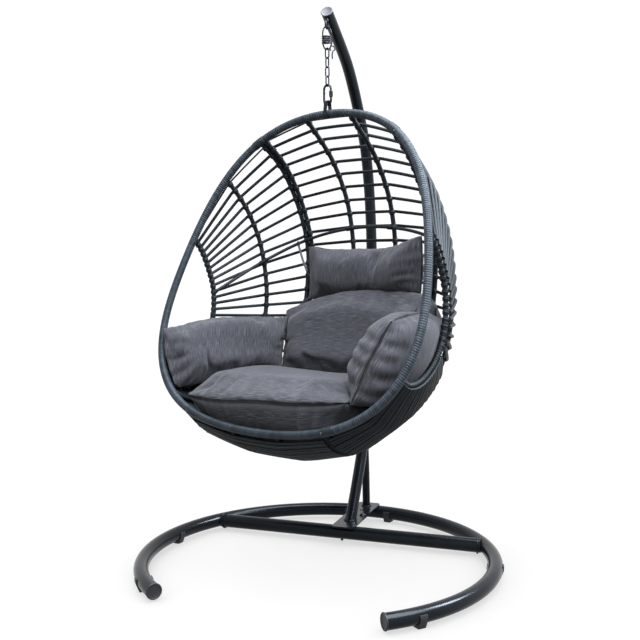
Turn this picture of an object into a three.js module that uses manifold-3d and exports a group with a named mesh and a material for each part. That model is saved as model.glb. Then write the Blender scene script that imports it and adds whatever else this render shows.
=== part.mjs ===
// A hanging egg chair: a floor stand with a curved mast, a spring-and-chain hanger, and an
// open woven basket with five loose cushions. Millimetres, +Z up, the chair's front faces -Y.
import * as THREE from 'three';
import { mergeVertices } from 'three/addons/utils/BufferGeometryUtils.js';
import Module from 'manifold-3d';

const wasm = await Module();
wasm.setup();

// ---------------------------------------------------------------- driving dimensions
const GAP = 0.3; // clearance between pieces that touch
const BENT_GAP = 1.6; // the same beside a bent tube, whose flats leave its true round
const BASE_RADIUS = 600; // centreline of the ring on the floor
const BASE_TUBE = 25;
const BASE_OPENING = 38.5; // half of the ring's open front, in degrees
const BASE_HEIGHT = 34; // centreline of the ring above the floor
const CROSS_TUBE_Y = 295;
const PLATE = { width: 87, front: 256, back: 612, thickness: 6 };
const PLATE_BOTTOM = BASE_HEIGHT + BASE_TUBE + GAP;
const PLATE_TOP = PLATE_BOTTOM + PLATE.thickness;
const FOOT_ANGLES = [-49, 49, -98, 98, -172, 172];
const FOOT = { wall: 3.5, halfWidth: 17, length: 26, mouthHeight: 9 };
const CAP_OVERHANG = 1.5; // how far an end cap's edge stands out past its tube
const BOLT_PLACES = [[25, 429], [-25, 429]];
const PLATE_HOLE = { y: 495, radius: 7 };

const MAST_TUBE = 21;
const MAST_TIP = [138, 1905];
const MAST_ROUTE = [
  MAST_TIP, [328, 1787], [381, 1744], [434, 1687], [500, 1603], [569, 1500], [612, 1380],
  [638, 1255], [652, 1120], [655, 980], [645, 820], [622, 660], [584, 490], [520, 325],
  [439, 186], [350, 52],
];
const STRUT_TUBE = 15;
const STRUT_ROUTE = [[562, 52], [558, 170], [549, 290], [541, 372]];

const HANG_Y = 138; // the chair hangs on this vertical line
const EYE = { height: 1862, radius: 14, wire: 3.5, neck: [9, 12, 16] };
const SPRING = { top: 1825, turns: 5, pitch: 5.6, radius: 16, wire: 2.2, plan: 40 };
const SAFETY_HOOK_WIRE = 1.8;
const LINK = { count: 4, width: 20, length: 40, wire: 2 };
const QUICK_LINK = { width: 38, length: 76, wire: 3.5 };
const NUT = { wall: 2.6, length: 20, sides: 6 };
const RIM_EYE = { wall: 3, width: 14, clearOfLink: 9 };

const RIM_CENTRE_TOP = 1558; // height of the rim's top, where the basket hangs
const BASKET_YAW = -18.9; // the basket has turned this far about its chain
const BASKET_TILT = 20.7; // the rim's lower edge comes forward of its top
const RIM_TUBE = 14;
const COLLAR_RADIUS = 18;
const RIM_JOINT = 30.5; // the rim's joints, in degrees round from its top and bottom
const RIM_MIDDLE = 587; // down the rim from its top to the middle of its polar outline
const RIM_OUTLINE = [569, -3, 11, 31, -18, -2, 1, -2]; // cosine series of the egg's radius
const RIB_TUBE = 8.5;
const BRACE_TUBE = 6;
const STRAND = 3.5;
const WEAVE_OFFSET = RIB_TUBE + STRAND + 1.5; // strands lie outside the ribs
// Open weave: how far down the ribs its first strand lies, the step to the next, and how many.
const BACK_STRANDS = { first: 0.037, step: 0.03, count: 20 };
const WING_STRANDS = { first: 0.06, step: 0.0342, count: 17 };
const OPENWORK_END = 0.615; // how far down the ribs the open weave reaches

// Half ribs: [across, [[down the rim plane, behind it], ...]], from the rim's top to its bottom.
const RIB_A = [512, [
  [451, 0], [480, 52], [533, 108], [594, 156], [678, 186], [736, 190], [792, 178], [845, 150],
  [890, 108], [915, 54], [906, 0],
]];
const RIB_B = [418, [
  [221, 0], [246, 65], [282, 137], [328, 199], [372, 246], [425, 286], [491, 325], [553, 352],
  [634, 371], [732, 372], [830, 340], [920, 275], [995, 185], [1034, 88], [1030, 0],
]];
const RIB_C = [282, [
  [79, 0], [94, 70], [119, 140], [160, 208], [208, 269], [252, 314], [296, 352], [357, 391],
  [420, 415], [530, 441], [660, 454], [780, 440], [888, 400], [984, 340], [1066, 250],
  [1116, 155], [1122, 70], [1094, 0],
]];
const RIB_D = [96, [
  [7, 0], [28, 58], [48, 114], [77, 180], [112, 235], [151, 284], [188, 322], [244, 365],
  [331, 415], [432, 454], [564, 482], [720, 490], [864, 466], [984, 412], [1080, 336],
  [1142, 228], [1162, 120], [1152, 48], [1123, 0],
]];
const DOUBLE_RIB_SPREAD = RIB_TUBE + GAP; // half the distance between the two C tubes
const RIB_CLIP = { down: 0.25, width: 30, length: 16, thickness: 4 };
// The brace's height on each rib, as a share of the way down it, from left to right.
const BRACE_HEIGHTS = [0.352, 0.303, 0.29, 0.278, 0.278, 0.29, 0.303, 0.352];

// ---------------------------------------------------------------- materials
const finish = (color, roughness, metalness) =>
  new THREE.MeshStandardMaterial({ color, roughness, metalness });
const blackCoat = () => finish('#1b1d20', 0.45, 0.3);
const blackPlastic = () => finish('#101113', 0.6, 0.0);
const zincSteel = () => finish('#7d838a', 0.35, 0.9);
const wicker = () => finish('#2f353c', 0.55, 0.0);
const charcoalCloth = () => finish('#3c3c42', 0.95, 0.0);

// ---------------------------------------------------------------- solids
const part = new THREE.Group();

function addMesh(name, geometry, material) {
  const mesh = new THREE.Mesh(geometry, material);
  mesh.name = name;
  part.add(mesh);
}

function toSolid(geometry) {
  const bare = geometry.clone();
  bare.deleteAttribute('normal');
  bare.deleteAttribute('uv');
  const merged = mergeVertices(bare, 1e-4);
  return new wasm.Manifold(new wasm.Mesh({
    numProp: 3,
    vertProperties: new Float32Array(merged.attributes.position.array),
    triVerts: new Uint32Array(merged.index.array),
  }));
}

function toGeometry(solid) {
  const mesh = solid.getMesh();
  const geometry = new THREE.BufferGeometry();
  geometry.setAttribute('position', new THREE.BufferAttribute(mesh.vertProperties, 3));
  geometry.setIndex(new THREE.BufferAttribute(mesh.triVerts, 1));
  return geometry;
}

function cut(geometry, cutters) {
  return toGeometry(cutters.reduce((solid, cutter) => solid.subtract(toSolid(cutter)), toSolid(geometry)));
}

function join(geometries) {
  return toGeometry(geometries.map(toSolid).reduce((whole, next) => whole.add(next)));
}

function regularPolygon(radius, sides) {
  const corners = [];
  for (let i = 0; i < sides; i += 1) {
    const turn = (2 * Math.PI * (i + 0.5)) / sides;
    corners.push(new THREE.Vector2(radius * Math.cos(turn), radius * Math.sin(turn)));
  }
  return new THREE.Shape(corners);
}

function tubeAlong(curve, radius, sides, steps) {
  return new THREE.ExtrudeGeometry(regularPolygon(radius, sides), { steps, extrudePath: curve });
}

function tube(points, radius, { sides = 8, steps = points.length * 2 } = {}) {
  return tubeAlong(new THREE.CatmullRomCurve3(points), radius, sides, steps);
}

function straightTube(start, end, radius, sides) {
  return tubeAlong(new THREE.LineCurve3(start, end), radius, sides, 1);
}

// A curve from a function of the share of the way along it, 0 to 1.
function curveOf(pointAt) {
  const curve = new THREE.Curve();
  curve.getPoint = pointAt;
  return curve;
}

// A turned piece whose own axis starts at `start` and points along `direction`.
function turned(profile, start, direction, sides = 20) {
  const points = profile.map(([radius, along]) => new THREE.Vector2(radius, along));
  const geometry = new THREE.LatheGeometry(points, sides);
  const turn = new THREE.Quaternion().setFromUnitVectors(
    new THREE.Vector3(0, 1, 0), direction.clone().normalize());
  return geometry.applyQuaternion(turn).translate(start.x, start.y, start.z);
}

function box(sizeX, sizeY, sizeZ, x, y, z) {
  return new THREE.BoxGeometry(sizeX, sizeY, sizeZ).translate(x, y, z);
}

const inMastPlane = ([y, z]) => new THREE.Vector3(0, y, z);

// ---------------------------------------------------------------- stand
function ringPoint(degrees, height = BASE_HEIGHT) {
  const turn = THREE.MathUtils.degToRad(degrees);
  return new THREE.Vector3(BASE_RADIUS * Math.sin(turn), -BASE_RADIUS * Math.cos(turn), height);
}

function ringArc(radius) {
  const arc = curveOf((share) => ringPoint(BASE_OPENING + (360 - 2 * BASE_OPENING) * share));
  return tubeAlong(arc, radius, 12, 30);
}

function crossTube(radius) {
  const half = Math.sqrt(BASE_RADIUS ** 2 - CROSS_TUBE_Y ** 2);
  return straightTube(
    new THREE.Vector3(-half, CROSS_TUBE_Y, BASE_HEIGHT),
    new THREE.Vector3(half, CROSS_TUBE_Y, BASE_HEIGHT), radius, 12);
}

function plateGeometry() {
  const corner = 12;
  const half = PLATE.width / 2;
  const outline = new THREE.Shape();
  outline.moveTo(-half + corner, PLATE.front);
  outline.lineTo(half - corner, PLATE.front);
  outline.absarc(half - corner, PLATE.front + corner, corner, -Math.PI / 2, 0);
  outline.lineTo(half, PLATE.back - corner);
  outline.absarc(half - corner, PLATE.back - corner, corner, 0, Math.PI / 2);
  outline.lineTo(-half + corner, PLATE.back);
  outline.absarc(-half + corner, PLATE.back - corner, corner, Math.PI / 2, Math.PI);
  outline.lineTo(-half, PLATE.front + corner);
  outline.absarc(-half + corner, PLATE.front + corner, corner, Math.PI, 1.5 * Math.PI);
  outline.holes.push(new THREE.Path().absarc(0, PLATE_HOLE.y, PLATE_HOLE.radius, 0, 2 * Math.PI, true));
  return new THREE.ExtrudeGeometry(outline, {
    depth: PLATE.thickness, bevelEnabled: false, curveSegments: 4,
  }).translate(0, 0, PLATE_BOTTOM);
}

const belowPlateTop = () => box(400, 400, 200, 0, 450, PLATE_TOP + GAP - 100);

function mastTube(radius) {
  return tube(MAST_ROUTE.map(inMastPlane), radius, { sides: 12, steps: 28 });
}

function footClip(degrees) {
  const outline = new THREE.Shape();
  const flare = Math.PI * 0.14; // how far below the tube's middle its walls start to straighten
  outline.absarc(0, 0, BASE_TUBE + FOOT.wall, Math.PI + flare, -flare, true);
  outline.lineTo(FOOT.halfWidth, -BASE_HEIGHT);
  outline.lineTo(-FOOT.halfWidth, -BASE_HEIGHT);
  const clip = new THREE.ExtrudeGeometry(outline, {
    depth: FOOT.length, bevelEnabled: false, curveSegments: 10,
  });
  const turn = THREE.MathUtils.degToRad(degrees);
  clip.translate(0, 0, -FOOT.length / 2).rotateX(Math.PI / 2).rotateZ(turn + Math.PI / 2);
  const place = ringPoint(degrees);
  clip.translate(place.x, place.y, place.z);
  const room = 4 * BASE_TUBE;
  const above = box(room, room, room, place.x, place.y, place.z + FOOT.mouthHeight + room / 2);
  return cut(clip, [ringArc(BASE_TUBE + GAP), above]);
}

function endCap(degrees, direction) {
  const along = new THREE.Vector3(direction * Math.cos(THREE.MathUtils.degToRad(degrees)),
    direction * Math.sin(THREE.MathUtils.degToRad(degrees)), 0);
  const start = ringPoint(degrees).addScaledVector(along, GAP);
  const edge = BASE_TUBE + CAP_OVERHANG;
  return turned([[0, 0], [edge, 0], [edge, 4], [edge - 3, 7], [edge - 6, 5], [0, 5]], start, along, 24);
}

function plateBolt([x, y]) {
  const place = new THREE.Vector3(x, y, PLATE_TOP + GAP);
  const head = [[0, 0], [13, 0], [13, 1.6], [9, 1.6], [9, 5], [5, 8], [0, 8.6]];
  return turned(head, place, new THREE.Vector3(0, 0, 1), 12);
}

function addStand() {
  addMesh('base_ring', ringArc(BASE_TUBE), blackCoat());
  addMesh('cross_tube', cut(crossTube(BASE_TUBE), [ringArc(BASE_TUBE + GAP)]), blackCoat());
  addMesh('base_plate', plateGeometry(), blackCoat());
  addMesh('mast', cut(mastTube(MAST_TUBE), [belowPlateTop()]), blackCoat());
  const strut = tube(STRUT_ROUTE.map(inMastPlane), STRUT_TUBE, { sides: 10, steps: 8 });
  addMesh('rear_strut', cut(strut, [belowPlateTop(), mastTube(MAST_TUBE + GAP)]), blackCoat());
  FOOT_ANGLES.forEach((degrees, i) => addMesh(`foot_${i + 1}`, footClip(degrees), blackPlastic()));
  addMesh('end_cap_right', endCap(BASE_OPENING, -1), blackPlastic());
  addMesh('end_cap_left', endCap(-BASE_OPENING, 1), blackPlastic());
  BOLT_PLACES.forEach((place, i) => addMesh(`plate_bolt_${i + 1}`, plateBolt(place), zincSteel()));
  const tip = inMastPlane(MAST_TIP);
  const outward = tip.clone().sub(inMastPlane(MAST_ROUTE[1])).normalize();
  const edge = MAST_TUBE + CAP_OVERHANG;
  addMesh('mast_cap', turned([[0, 0], [edge, 0], [edge, 3], [edge - 2, 5], [0, 6]],
    tip.clone().addScaledVector(outward, GAP), outward, 24), blackPlastic());
  const eye = new THREE.TorusGeometry(EYE.radius, EYE.wire, 8, 20)
    .rotateY(Math.PI / 2).translate(0, HANG_Y, EYE.height);
  const neck = box(...EYE.neck, 0, HANG_Y, EYE.height + EYE.radius + EYE.neck[2] / 2 - 2);
  addMesh('hook_eye', cut(join([eye, neck]), [mastTube(MAST_TUBE + GAP)]), blackCoat());
}

// ---------------------------------------------------------------- hanger
function onHangLine(across, behind, height, planDegrees) {
  const turn = THREE.MathUtils.degToRad(planDegrees);
  return new THREE.Vector3(
    across * Math.cos(turn) - behind * Math.sin(turn),
    HANG_Y + across * Math.sin(turn) + behind * Math.cos(turn), height);
}

function bentWire(route, planDegrees, wire, steps) {
  const points = route.map(([across, height, behind = 0]) =>
    onHangLine(across, behind, height, planDegrees));
  return tube(points, wire, { sides: 6, steps });
}

function ovalLink(width, length, wire, centreHeight, planDegrees, segments = 12) {
  const radius = width / 2 - wire;
  const link = new THREE.TorusGeometry(radius, wire, 6, segments).rotateZ(Math.PI / segments);
  const stretch = (length - width) / 2;
  const spots = link.attributes.position;
  for (let i = 0; i < spots.count; i += 1) {
    spots.setY(i, spots.getY(i) + Math.sign(spots.getY(i)) * stretch);
  }
  return link.rotateX(Math.PI / 2).rotateZ(THREE.MathUtils.degToRad(planDegrees))
    .translate(0, HANG_Y, centreHeight);
}

const springBottom = SPRING.top - SPRING.turns * SPRING.pitch;
const barApex = springBottom - 19.5;
const firstLinkCentre = barApex + 2 * LINK.wire + SPRING.wire + 1.2 - LINK.length / 2;

function springCoil() {
  const helix = curveOf((share) => {
    const turn = 2 * Math.PI * SPRING.turns * share;
    return new THREE.Vector3(SPRING.radius * Math.cos(turn), HANG_Y + SPRING.radius * Math.sin(turn),
      SPRING.top - SPRING.pitch * SPRING.turns * share);
  });
  return tubeAlong(helix, SPRING.wire, 5, SPRING.turns * 10);
}

function addHanger() {
  const barTop = EYE.height - EYE.radius + EYE.wire + SPRING.wire + 4 * GAP;
  const shoulder = SPRING.top + 2 * SPRING.wire;
  addMesh('spring_upper_bar', bentWire([
    [-16, shoulder], [-15.5, shoulder + 10], [-9.5, barTop - 4.5], [0, barTop], [9.5, barTop - 4.5],
    [15.5, shoulder + 10], [16, shoulder],
  ], SPRING.plan, SPRING.wire, 14), zincSteel());
  addMesh('spring_coil', springCoil(), zincSteel());
  const shoulderBelow = springBottom - 2 * SPRING.wire;
  addMesh('spring_lower_bar', bentWire([
    [-16, shoulderBelow], [-15, shoulderBelow - 4], [-8, barApex + 2], [0, barApex],
    [8, barApex + 2], [15, shoulderBelow - 4], [16, shoulderBelow],
  ], SPRING.plan, SPRING.wire, 14), zincSteel());
  addMesh('safety_hook', bentWire([
    [10, barApex - 6, -9], [8, barApex + 3, -9], [13, barApex + 11, -9], [22, barApex + 8, -10],
    [24, barApex - 1, -11], [17, barApex - 7, -12], [14, barApex - 18, -12], [15, barApex - 34, -12],
  ], SPRING.plan, SAFETY_HOOK_WIRE, 20), zincSteel());
  const pitch = LINK.length - 4 * LINK.wire - GAP;
  for (let i = 0; i < LINK.count; i += 1) {
    const plan = BASKET_YAW + 90 * (i % 2);
    const centre = firstLinkCentre - i * pitch;
    addMesh(`chain_link_${i + 1}`, ovalLink(LINK.width, LINK.length, LINK.wire, centre, plan), zincSteel());
  }
  const lastLinkBottom = firstLinkCentre - (LINK.count - 1) * pitch - LINK.length / 2 + LINK.wire;
  const quickCentre = lastLinkBottom + LINK.wire + QUICK_LINK.wire + GAP
    - (QUICK_LINK.length / 2 - QUICK_LINK.wire);
  const quickLink = ovalLink(QUICK_LINK.width, QUICK_LINK.length, QUICK_LINK.wire,
    quickCentre, BASKET_YAW, 16);
  addMesh('quick_link', quickLink, zincSteel());
  addMesh('quick_link_nut', quickLinkNut(quickCentre), zincSteel());
  return quickCentre - QUICK_LINK.length / 2 + 2 * QUICK_LINK.wire;
}

function quickLinkNut(quickCentre) {
  const side = (QUICK_LINK.width / 2 - QUICK_LINK.wire) * Math.cos(Math.PI / 16);
  const bore = (QUICK_LINK.wire + GAP) / Math.cos(Math.PI / NUT.sides);
  const outer = bore + NUT.wall;
  const half = NUT.length / 2;
  const start = onHangLine(side, 0, quickCentre + 2, BASKET_YAW);
  return turned([[bore, -half], [outer, -half], [outer, half], [bore, half], [bore, -half]],
    start, new THREE.Vector3(0, 0, 1), NUT.sides);
}

// ---------------------------------------------------------------- basket frame
const yaw = THREE.MathUtils.degToRad(BASKET_YAW);
const tilt = THREE.MathUtils.degToRad(BASKET_TILT);
const rightward = new THREE.Vector3(Math.cos(yaw), Math.sin(yaw), 0);
const forward = new THREE.Vector3(Math.sin(yaw), -Math.cos(yaw), 0);
const downRim = new THREE.Vector3(0, 0, -Math.cos(tilt)).addScaledVector(forward, Math.sin(tilt));
const behindRim = new THREE.Vector3().crossVectors(rightward, downRim);

// From the rim plane's own measures, across, down and behind, to the chair's.
function basketPoint(across, down, behind) {
  return new THREE.Vector3(0, HANG_Y, RIM_CENTRE_TOP)
    .addScaledVector(rightward, across)
    .addScaledVector(downRim, down)
    .addScaledVector(behindRim, behind);
}

// From an upright frame that hangs at the rim's top and turns with the basket.
function uprightPoint(across, back, up) {
  return new THREE.Vector3(0, HANG_Y, RIM_CENTRE_TOP + up)
    .addScaledVector(rightward, across)
    .addScaledVector(forward, -back);
}

function rimPoint(degrees) {
  const turn = THREE.MathUtils.degToRad(degrees);
  const radius = RIM_OUTLINE.reduce((sum, size, i) => sum + size * Math.cos(i * turn), 0);
  return basketPoint(radius * Math.sin(turn), RIM_MIDDLE - radius * Math.cos(turn), 0);
}

function rimSection(fromDegrees, toDegrees, radius, steps) {
  const arc = curveOf((share) => rimPoint(fromDegrees + (toDegrees - fromDegrees) * share));
  return tubeAlong(arc, radius, 10, steps);
}

function rimCutter(side) {
  return rimSection(side * 12, side * 168, RIM_TUBE + BENT_GAP, 40);
}

function topAndBottomCutter() {
  return [rimSection(-40, 40, RIM_TUBE + BENT_GAP, 20), rimSection(140, 220, RIM_TUBE + BENT_GAP, 20)];
}

function collar(degrees) {
  const reach = 2.2;
  const ends = [rimPoint(degrees - reach), rimPoint(degrees + reach)];
  const sleeve = straightTube(ends[0], ends[1], COLLAR_RADIUS, 14);
  return cut(sleeve, [rimSection(degrees - 8, degrees + 8, RIM_TUBE + BENT_GAP, 12)]);
}

function rimEye(seatHeight) {
  const inner = RIM_TUBE + GAP;
  const top = seatHeight - RIM_CENTRE_TOP + 0.5;
  const narrower = 5; // the strap's top is this much narrower each side than its foot
  const stadium = (radius, rise) => {
    const shape = new THREE.Shape();
    shape.absarc(0, 0, radius, Math.PI, 2 * Math.PI);
    shape.absarc(0, rise, radius - narrower, 0, Math.PI);
    return shape;
  };
  const rise = top + RIM_EYE.clearOfLink - inner + narrower;
  const outline = stadium(inner + RIM_EYE.wall, rise);
  outline.holes.push(stadium(inner, rise));
  const strap = new THREE.ExtrudeGeometry(outline, {
    depth: RIM_EYE.width, bevelEnabled: false, curveSegments: 8,
  });
  return strap.translate(0, 0, -RIM_EYE.width / 2).rotateX(Math.PI / 2).rotateZ(Math.PI / 2 + yaw)
    .translate(0, HANG_Y, RIM_CENTRE_TOP);
}

function ribCurve([across, profile], side) {
  return new THREE.CatmullRomCurve3(
    profile.map(([down, behind]) => new THREE.Vector3(side * across, down, behind)));
}

const STATIONS = [
  ribCurve(RIB_A, -1), ribCurve(RIB_B, -1), ribCurve(RIB_C, -1), ribCurve(RIB_D, -1),
  ribCurve(RIB_D, 1), ribCurve(RIB_C, 1), ribCurve(RIB_B, 1), ribCurve(RIB_A, 1),
];

// The basket's skin: `station` runs 0 to 7 from rib to rib, `down` runs 0 to 1 along each rib.
function skinLine(down) {
  return new THREE.CatmullRomCurve3(STATIONS.map((rib) => rib.getPointAt(down)));
}

// A point of the skin, moved `offset` outward from it and `sideways` along it.
function skinPoint(station, down, offset, sideways = 0) {
  const last = STATIONS.length - 1;
  const small = 0.004;
  const at = (s, d) => skinLine(THREE.MathUtils.clamp(d, 0, 1))
    .getPoint(THREE.MathUtils.clamp(s / last, 0, 1));
  const spot = at(station, down);
  const acrossStep = at(station + small * last, down).sub(at(station - small * last, down)).normalize();
  const downStep = at(station, down + small).sub(at(station, down - small));
  const outward = new THREE.Vector3().crossVectors(acrossStep, downStep).normalize();
  return skinToChair(spot.addScaledVector(outward, offset).addScaledVector(acrossStep, sideways));
}

const skinToChair = ({ x, y, z }) => basketPoint(x, y, z);

// A rib's tube, along a station of the skin or beside it.
function ribTube(station, radius, sideways = 0) {
  const line = curveOf((share) => skinPoint(station, share, 0, sideways));
  return tubeAlong(line, radius, 7, 18);
}

function addBasketFrame(seatHeight) {
  const sections = {
    rim_top: [-RIM_JOINT, RIM_JOINT, 12],
    rim_right: [RIM_JOINT, 180 - RIM_JOINT, 20],
    rim_bottom: [180 - RIM_JOINT, 180 + RIM_JOINT, 12],
    rim_left: [180 + RIM_JOINT, 360 - RIM_JOINT, 20],
  };
  for (const [name, [from, to, steps]] of Object.entries(sections)) {
    const slit = 0.04;
    addMesh(name, rimSection(from + slit, to - slit, RIM_TUBE, steps), wicker());
  }
  const collars = {
    collar_top_right: RIM_JOINT,
    collar_top_left: -RIM_JOINT,
    collar_bottom_right: 180 - RIM_JOINT,
    collar_bottom_left: 180 + RIM_JOINT,
  };
  for (const [name, degrees] of Object.entries(collars)) addMesh(name, collar(degrees), wicker());
  addMesh('rim_eye', rimEye(seatHeight), zincSteel());
  for (const [word, side] of [['left', -1], ['right', 1]]) {
    const station = (inFromEdge) => (side < 0 ? inFromEdge : STATIONS.length - 1 - inFromEdge);
    const sideCutters = [rimCutter(side)];
    const jointCutters = [rimCutter(side), ...topAndBottomCutter(),
      thickCollar(side * RIM_JOINT), thickCollar(side * (180 - RIM_JOINT))];
    const spread = side * DOUBLE_RIB_SPREAD;
    const ribs = {
      a: cut(ribTube(station(0), RIB_TUBE), sideCutters),
      b: cut(ribTube(station(1), RIB_TUBE), sideCutters),
      c_outer: cut(ribTube(station(2), RIB_TUBE, spread), jointCutters),
      c_inner: cut(ribTube(station(2), RIB_TUBE, -spread), jointCutters),
      d: cut(ribTube(station(3), RIB_TUBE), topAndBottomCutter()),
    };
    for (const [name, rib] of Object.entries(ribs)) addMesh(`rib_${name}_${word}`, rib, blackCoat());
    addMesh(`rib_clip_${word}`, ribClip(station(2)), zincSteel());
  }
  addMesh('brace', braceTube(), blackCoat());
}

function thickCollar(degrees) {
  return straightTube(rimPoint(degrees - 2.6), rimPoint(degrees + 2.6), COLLAR_RADIUS + 3 * GAP, 14);
}

// A strap that bolts the two C tubes together, inside the basket and below the brace.
function ribClip(station) {
  const { down, width, length, thickness } = RIB_CLIP;
  const place = skinPoint(station, down, -(RIB_TUBE + 4 * GAP + thickness / 2));
  const inward = place.clone().sub(skinPoint(station, down, 0)).normalize();
  const along = skinPoint(station, down + 0.01, 0).sub(skinPoint(station, down - 0.01, 0)).normalize();
  const across = new THREE.Vector3().crossVectors(along, inward);
  const strap = new THREE.BoxGeometry(width, length, thickness);
  const bolt = new THREE.CylinderGeometry(5, 6, 5, 8).rotateX(Math.PI / 2).translate(0, 0, 4);
  const frame = new THREE.Matrix4().makeBasis(across, along, inward).setPosition(place);
  return join([strap, bolt]).applyMatrix4(frame);
}

// The smooth tube inside the back that ties the ribs together and carries the head pillow.
function braceTube() {
  const lift = RIB_TUBE + BRACE_TUBE + 3;
  const last = STATIONS.length - 1;
  const points = BRACE_HEIGHTS.map((down, station) => {
    const clear = station === 0 || station === last ? 0 : -lift;
    return skinPoint(station, down, clear);
  });
  const ends = [0, last].map((station) => ribTube(station, RIB_TUBE + GAP));
  return cut(tube(points, BRACE_TUBE, { sides: 7, steps: 22 }), ends);
}

// ---------------------------------------------------------------- weave
function strand(down, fromStation, toStation, steps) {
  const points = [];
  for (let i = 0; i <= steps; i += 1) {
    const station = fromStation + ((toStation - fromStation) * i) / steps;
    points.push(skinPoint(station, down, WEAVE_OFFSET));
  }
  return tube(points, STRAND, { sides: 4, steps });
}

function edgeBinding(station, fromDown, toDown, steps) {
  const line = curveOf((share) => skinPoint(station, fromDown + (toDown - fromDown) * share, WEAVE_OFFSET));
  return tubeAlong(line, STRAND, 5, steps);
}

function openWeave(fromStation, toStation, { first, step, count }, cutters) {
  const pieces = [];
  const steps = Math.ceil((toStation - fromStation) * 2.8);
  for (let i = 0; i < count; i += 1) {
    pieces.push(strand(first + step * i, fromStation, toStation, steps));
  }
  for (const station of [fromStation, toStation]) {
    pieces.push(edgeBinding(station, first - 0.007, OPENWORK_END, 16));
  }
  return cut(join(pieces), cutters);
}

// A stretch of the skin between two offsets from it, as a closed shell.
function shell(fromStation, toStation, fromDown, toDown, offsets, columns, rows) {
  const spots = [];
  for (const offset of offsets) {
    for (let row = 0; row <= rows; row += 1) {
      const down = fromDown + ((toDown - fromDown) * row) / rows;
      for (let column = 0; column <= columns; column += 1) {
        const station = fromStation + ((toStation - fromStation) * column) / columns;
        const spot = skinPoint(station, down, offset);
        spots.push(spot.x, spot.y, spot.z);
      }
    }
  }
  return closedGrid(spots, columns, rows);
}

// A closely woven stretch, as a thin plate outside the ribs.
function closeWeave(fromStation, toStation, toDown, columns, rows, cutters) {
  const offsets = [WEAVE_OFFSET - STRAND + 1.5, WEAVE_OFFSET + STRAND];
  const plate = shell(fromStation, toStation, OPENWORK_END + 0.014, toDown, offsets, columns, rows);
  return cut(plate, cutters);
}

// Two grids of points, one behind the other, joined round their edges into a closed shell.
function closedGrid(spots, columns, rows) {
  const across = columns + 1;
  const layer = across * (rows + 1);
  const faces = [];
  const quad = (a, b, c, d) => faces.push(a, b, c, a, c, d);
  for (let row = 0; row < rows; row += 1) {
    for (let column = 0; column < columns; column += 1) {
      const near = row * across + column;
      quad(near, near + across, near + across + 1, near + 1);
      const far = near + layer;
      quad(far, far + 1, far + across + 1, far + across);
    }
  }
  const seam = (a, b) => quad(a, b, b + layer, a + layer);
  for (let column = 0; column < columns; column += 1) {
    seam(column, column + 1);
    seam(rows * across + column + 1, rows * across + column);
  }
  for (let row = 0; row < rows; row += 1) {
    seam((row + 1) * across, row * across);
    seam(row * across + columns, (row + 1) * across + columns);
  }
  const geometry = new THREE.BufferGeometry();
  geometry.setAttribute('position', new THREE.Float32BufferAttribute(spots, 3));
  geometry.setIndex(faces);
  return geometry;
}

function addWeave() {
  const rimAndCollars = [
    ...topAndBottomCutter(), rimCutter(-1), rimCutter(1),
    ...[RIM_JOINT, -RIM_JOINT, 180 - RIM_JOINT, 180 + RIM_JOINT].map(thickCollar),
  ];
  const middle = [2.05, 4.95];
  const wings = { left: [0, 1.94], right: [5.06, 7] };
  addMesh('weave_back', openWeave(...middle, BACK_STRANDS, rimAndCollars), wicker());
  addMesh('weave_seat', closeWeave(...middle, 0.985, 6, 24, rimAndCollars), wicker());
  for (const [word, span] of Object.entries(wings)) {
    addMesh(`weave_wing_${word}`, openWeave(...span, WING_STRANDS, rimAndCollars), wicker());
    addMesh(`weave_side_${word}`, closeWeave(...span, 0.975, 4, 14, rimAndCollars), wicker());
  }
}

// ---------------------------------------------------------------- cushions
// Each cushion is a soft block in the basket's upright frame, cut to the bowl that it lies in.
const SEAT = { size: [640, 430, 250], tilt: 0, turn: 0, place: [0, -170, -990] };
const BACK = { size: [660, 150, 290], tilt: -13, turn: -6, place: [75, 125, -765] };
const ARM_LEFT = { size: [140, 440, 235], tilt: 0, turn: -33, place: [-375, -100, -845] };
const ARM_RIGHT = { size: [150, 420, 250], tilt: 0, turn: 12, place: [395, -140, -835] };
const HEAD = { size: [500, 92, 174], tilt: -6, turn: 0, place: [0, 188, -520] };

function softBlock({ size, tilt: tiltDegrees, turn, place }, swell = 0) {
  const block = new THREE.SphereGeometry(1, 16, 10).rotateX(Math.PI / 2);
  const spots = block.attributes.position;
  const square = (value) => (Math.abs(value) < 1e-6 ? 0 : Math.sign(value) * Math.abs(value) ** 0.5);
  const half = size.map((length) => length / 2 + swell);
  for (let i = 0; i < spots.count; i += 1) {
    spots.setXYZ(i, square(spots.getX(i)) * half[0], square(spots.getY(i)) * half[1],
      square(spots.getZ(i)) * half[2]);
  }
  block.rotateX(THREE.MathUtils.degToRad(tiltDegrees)).rotateZ(THREE.MathUtils.degToRad(turn) + yaw);
  const { x, y, z } = uprightPoint(...place);
  return block.translate(x, y, z);
}

// Everything from just inside the ribs outward, which the cushions keep clear of.
function bowl() {
  const inside = -(RIB_TUBE + 16);
  const outside = 170;
  return shell(0, 7, 0.02, 0.98, [inside, outside], 14, 30);
}

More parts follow.
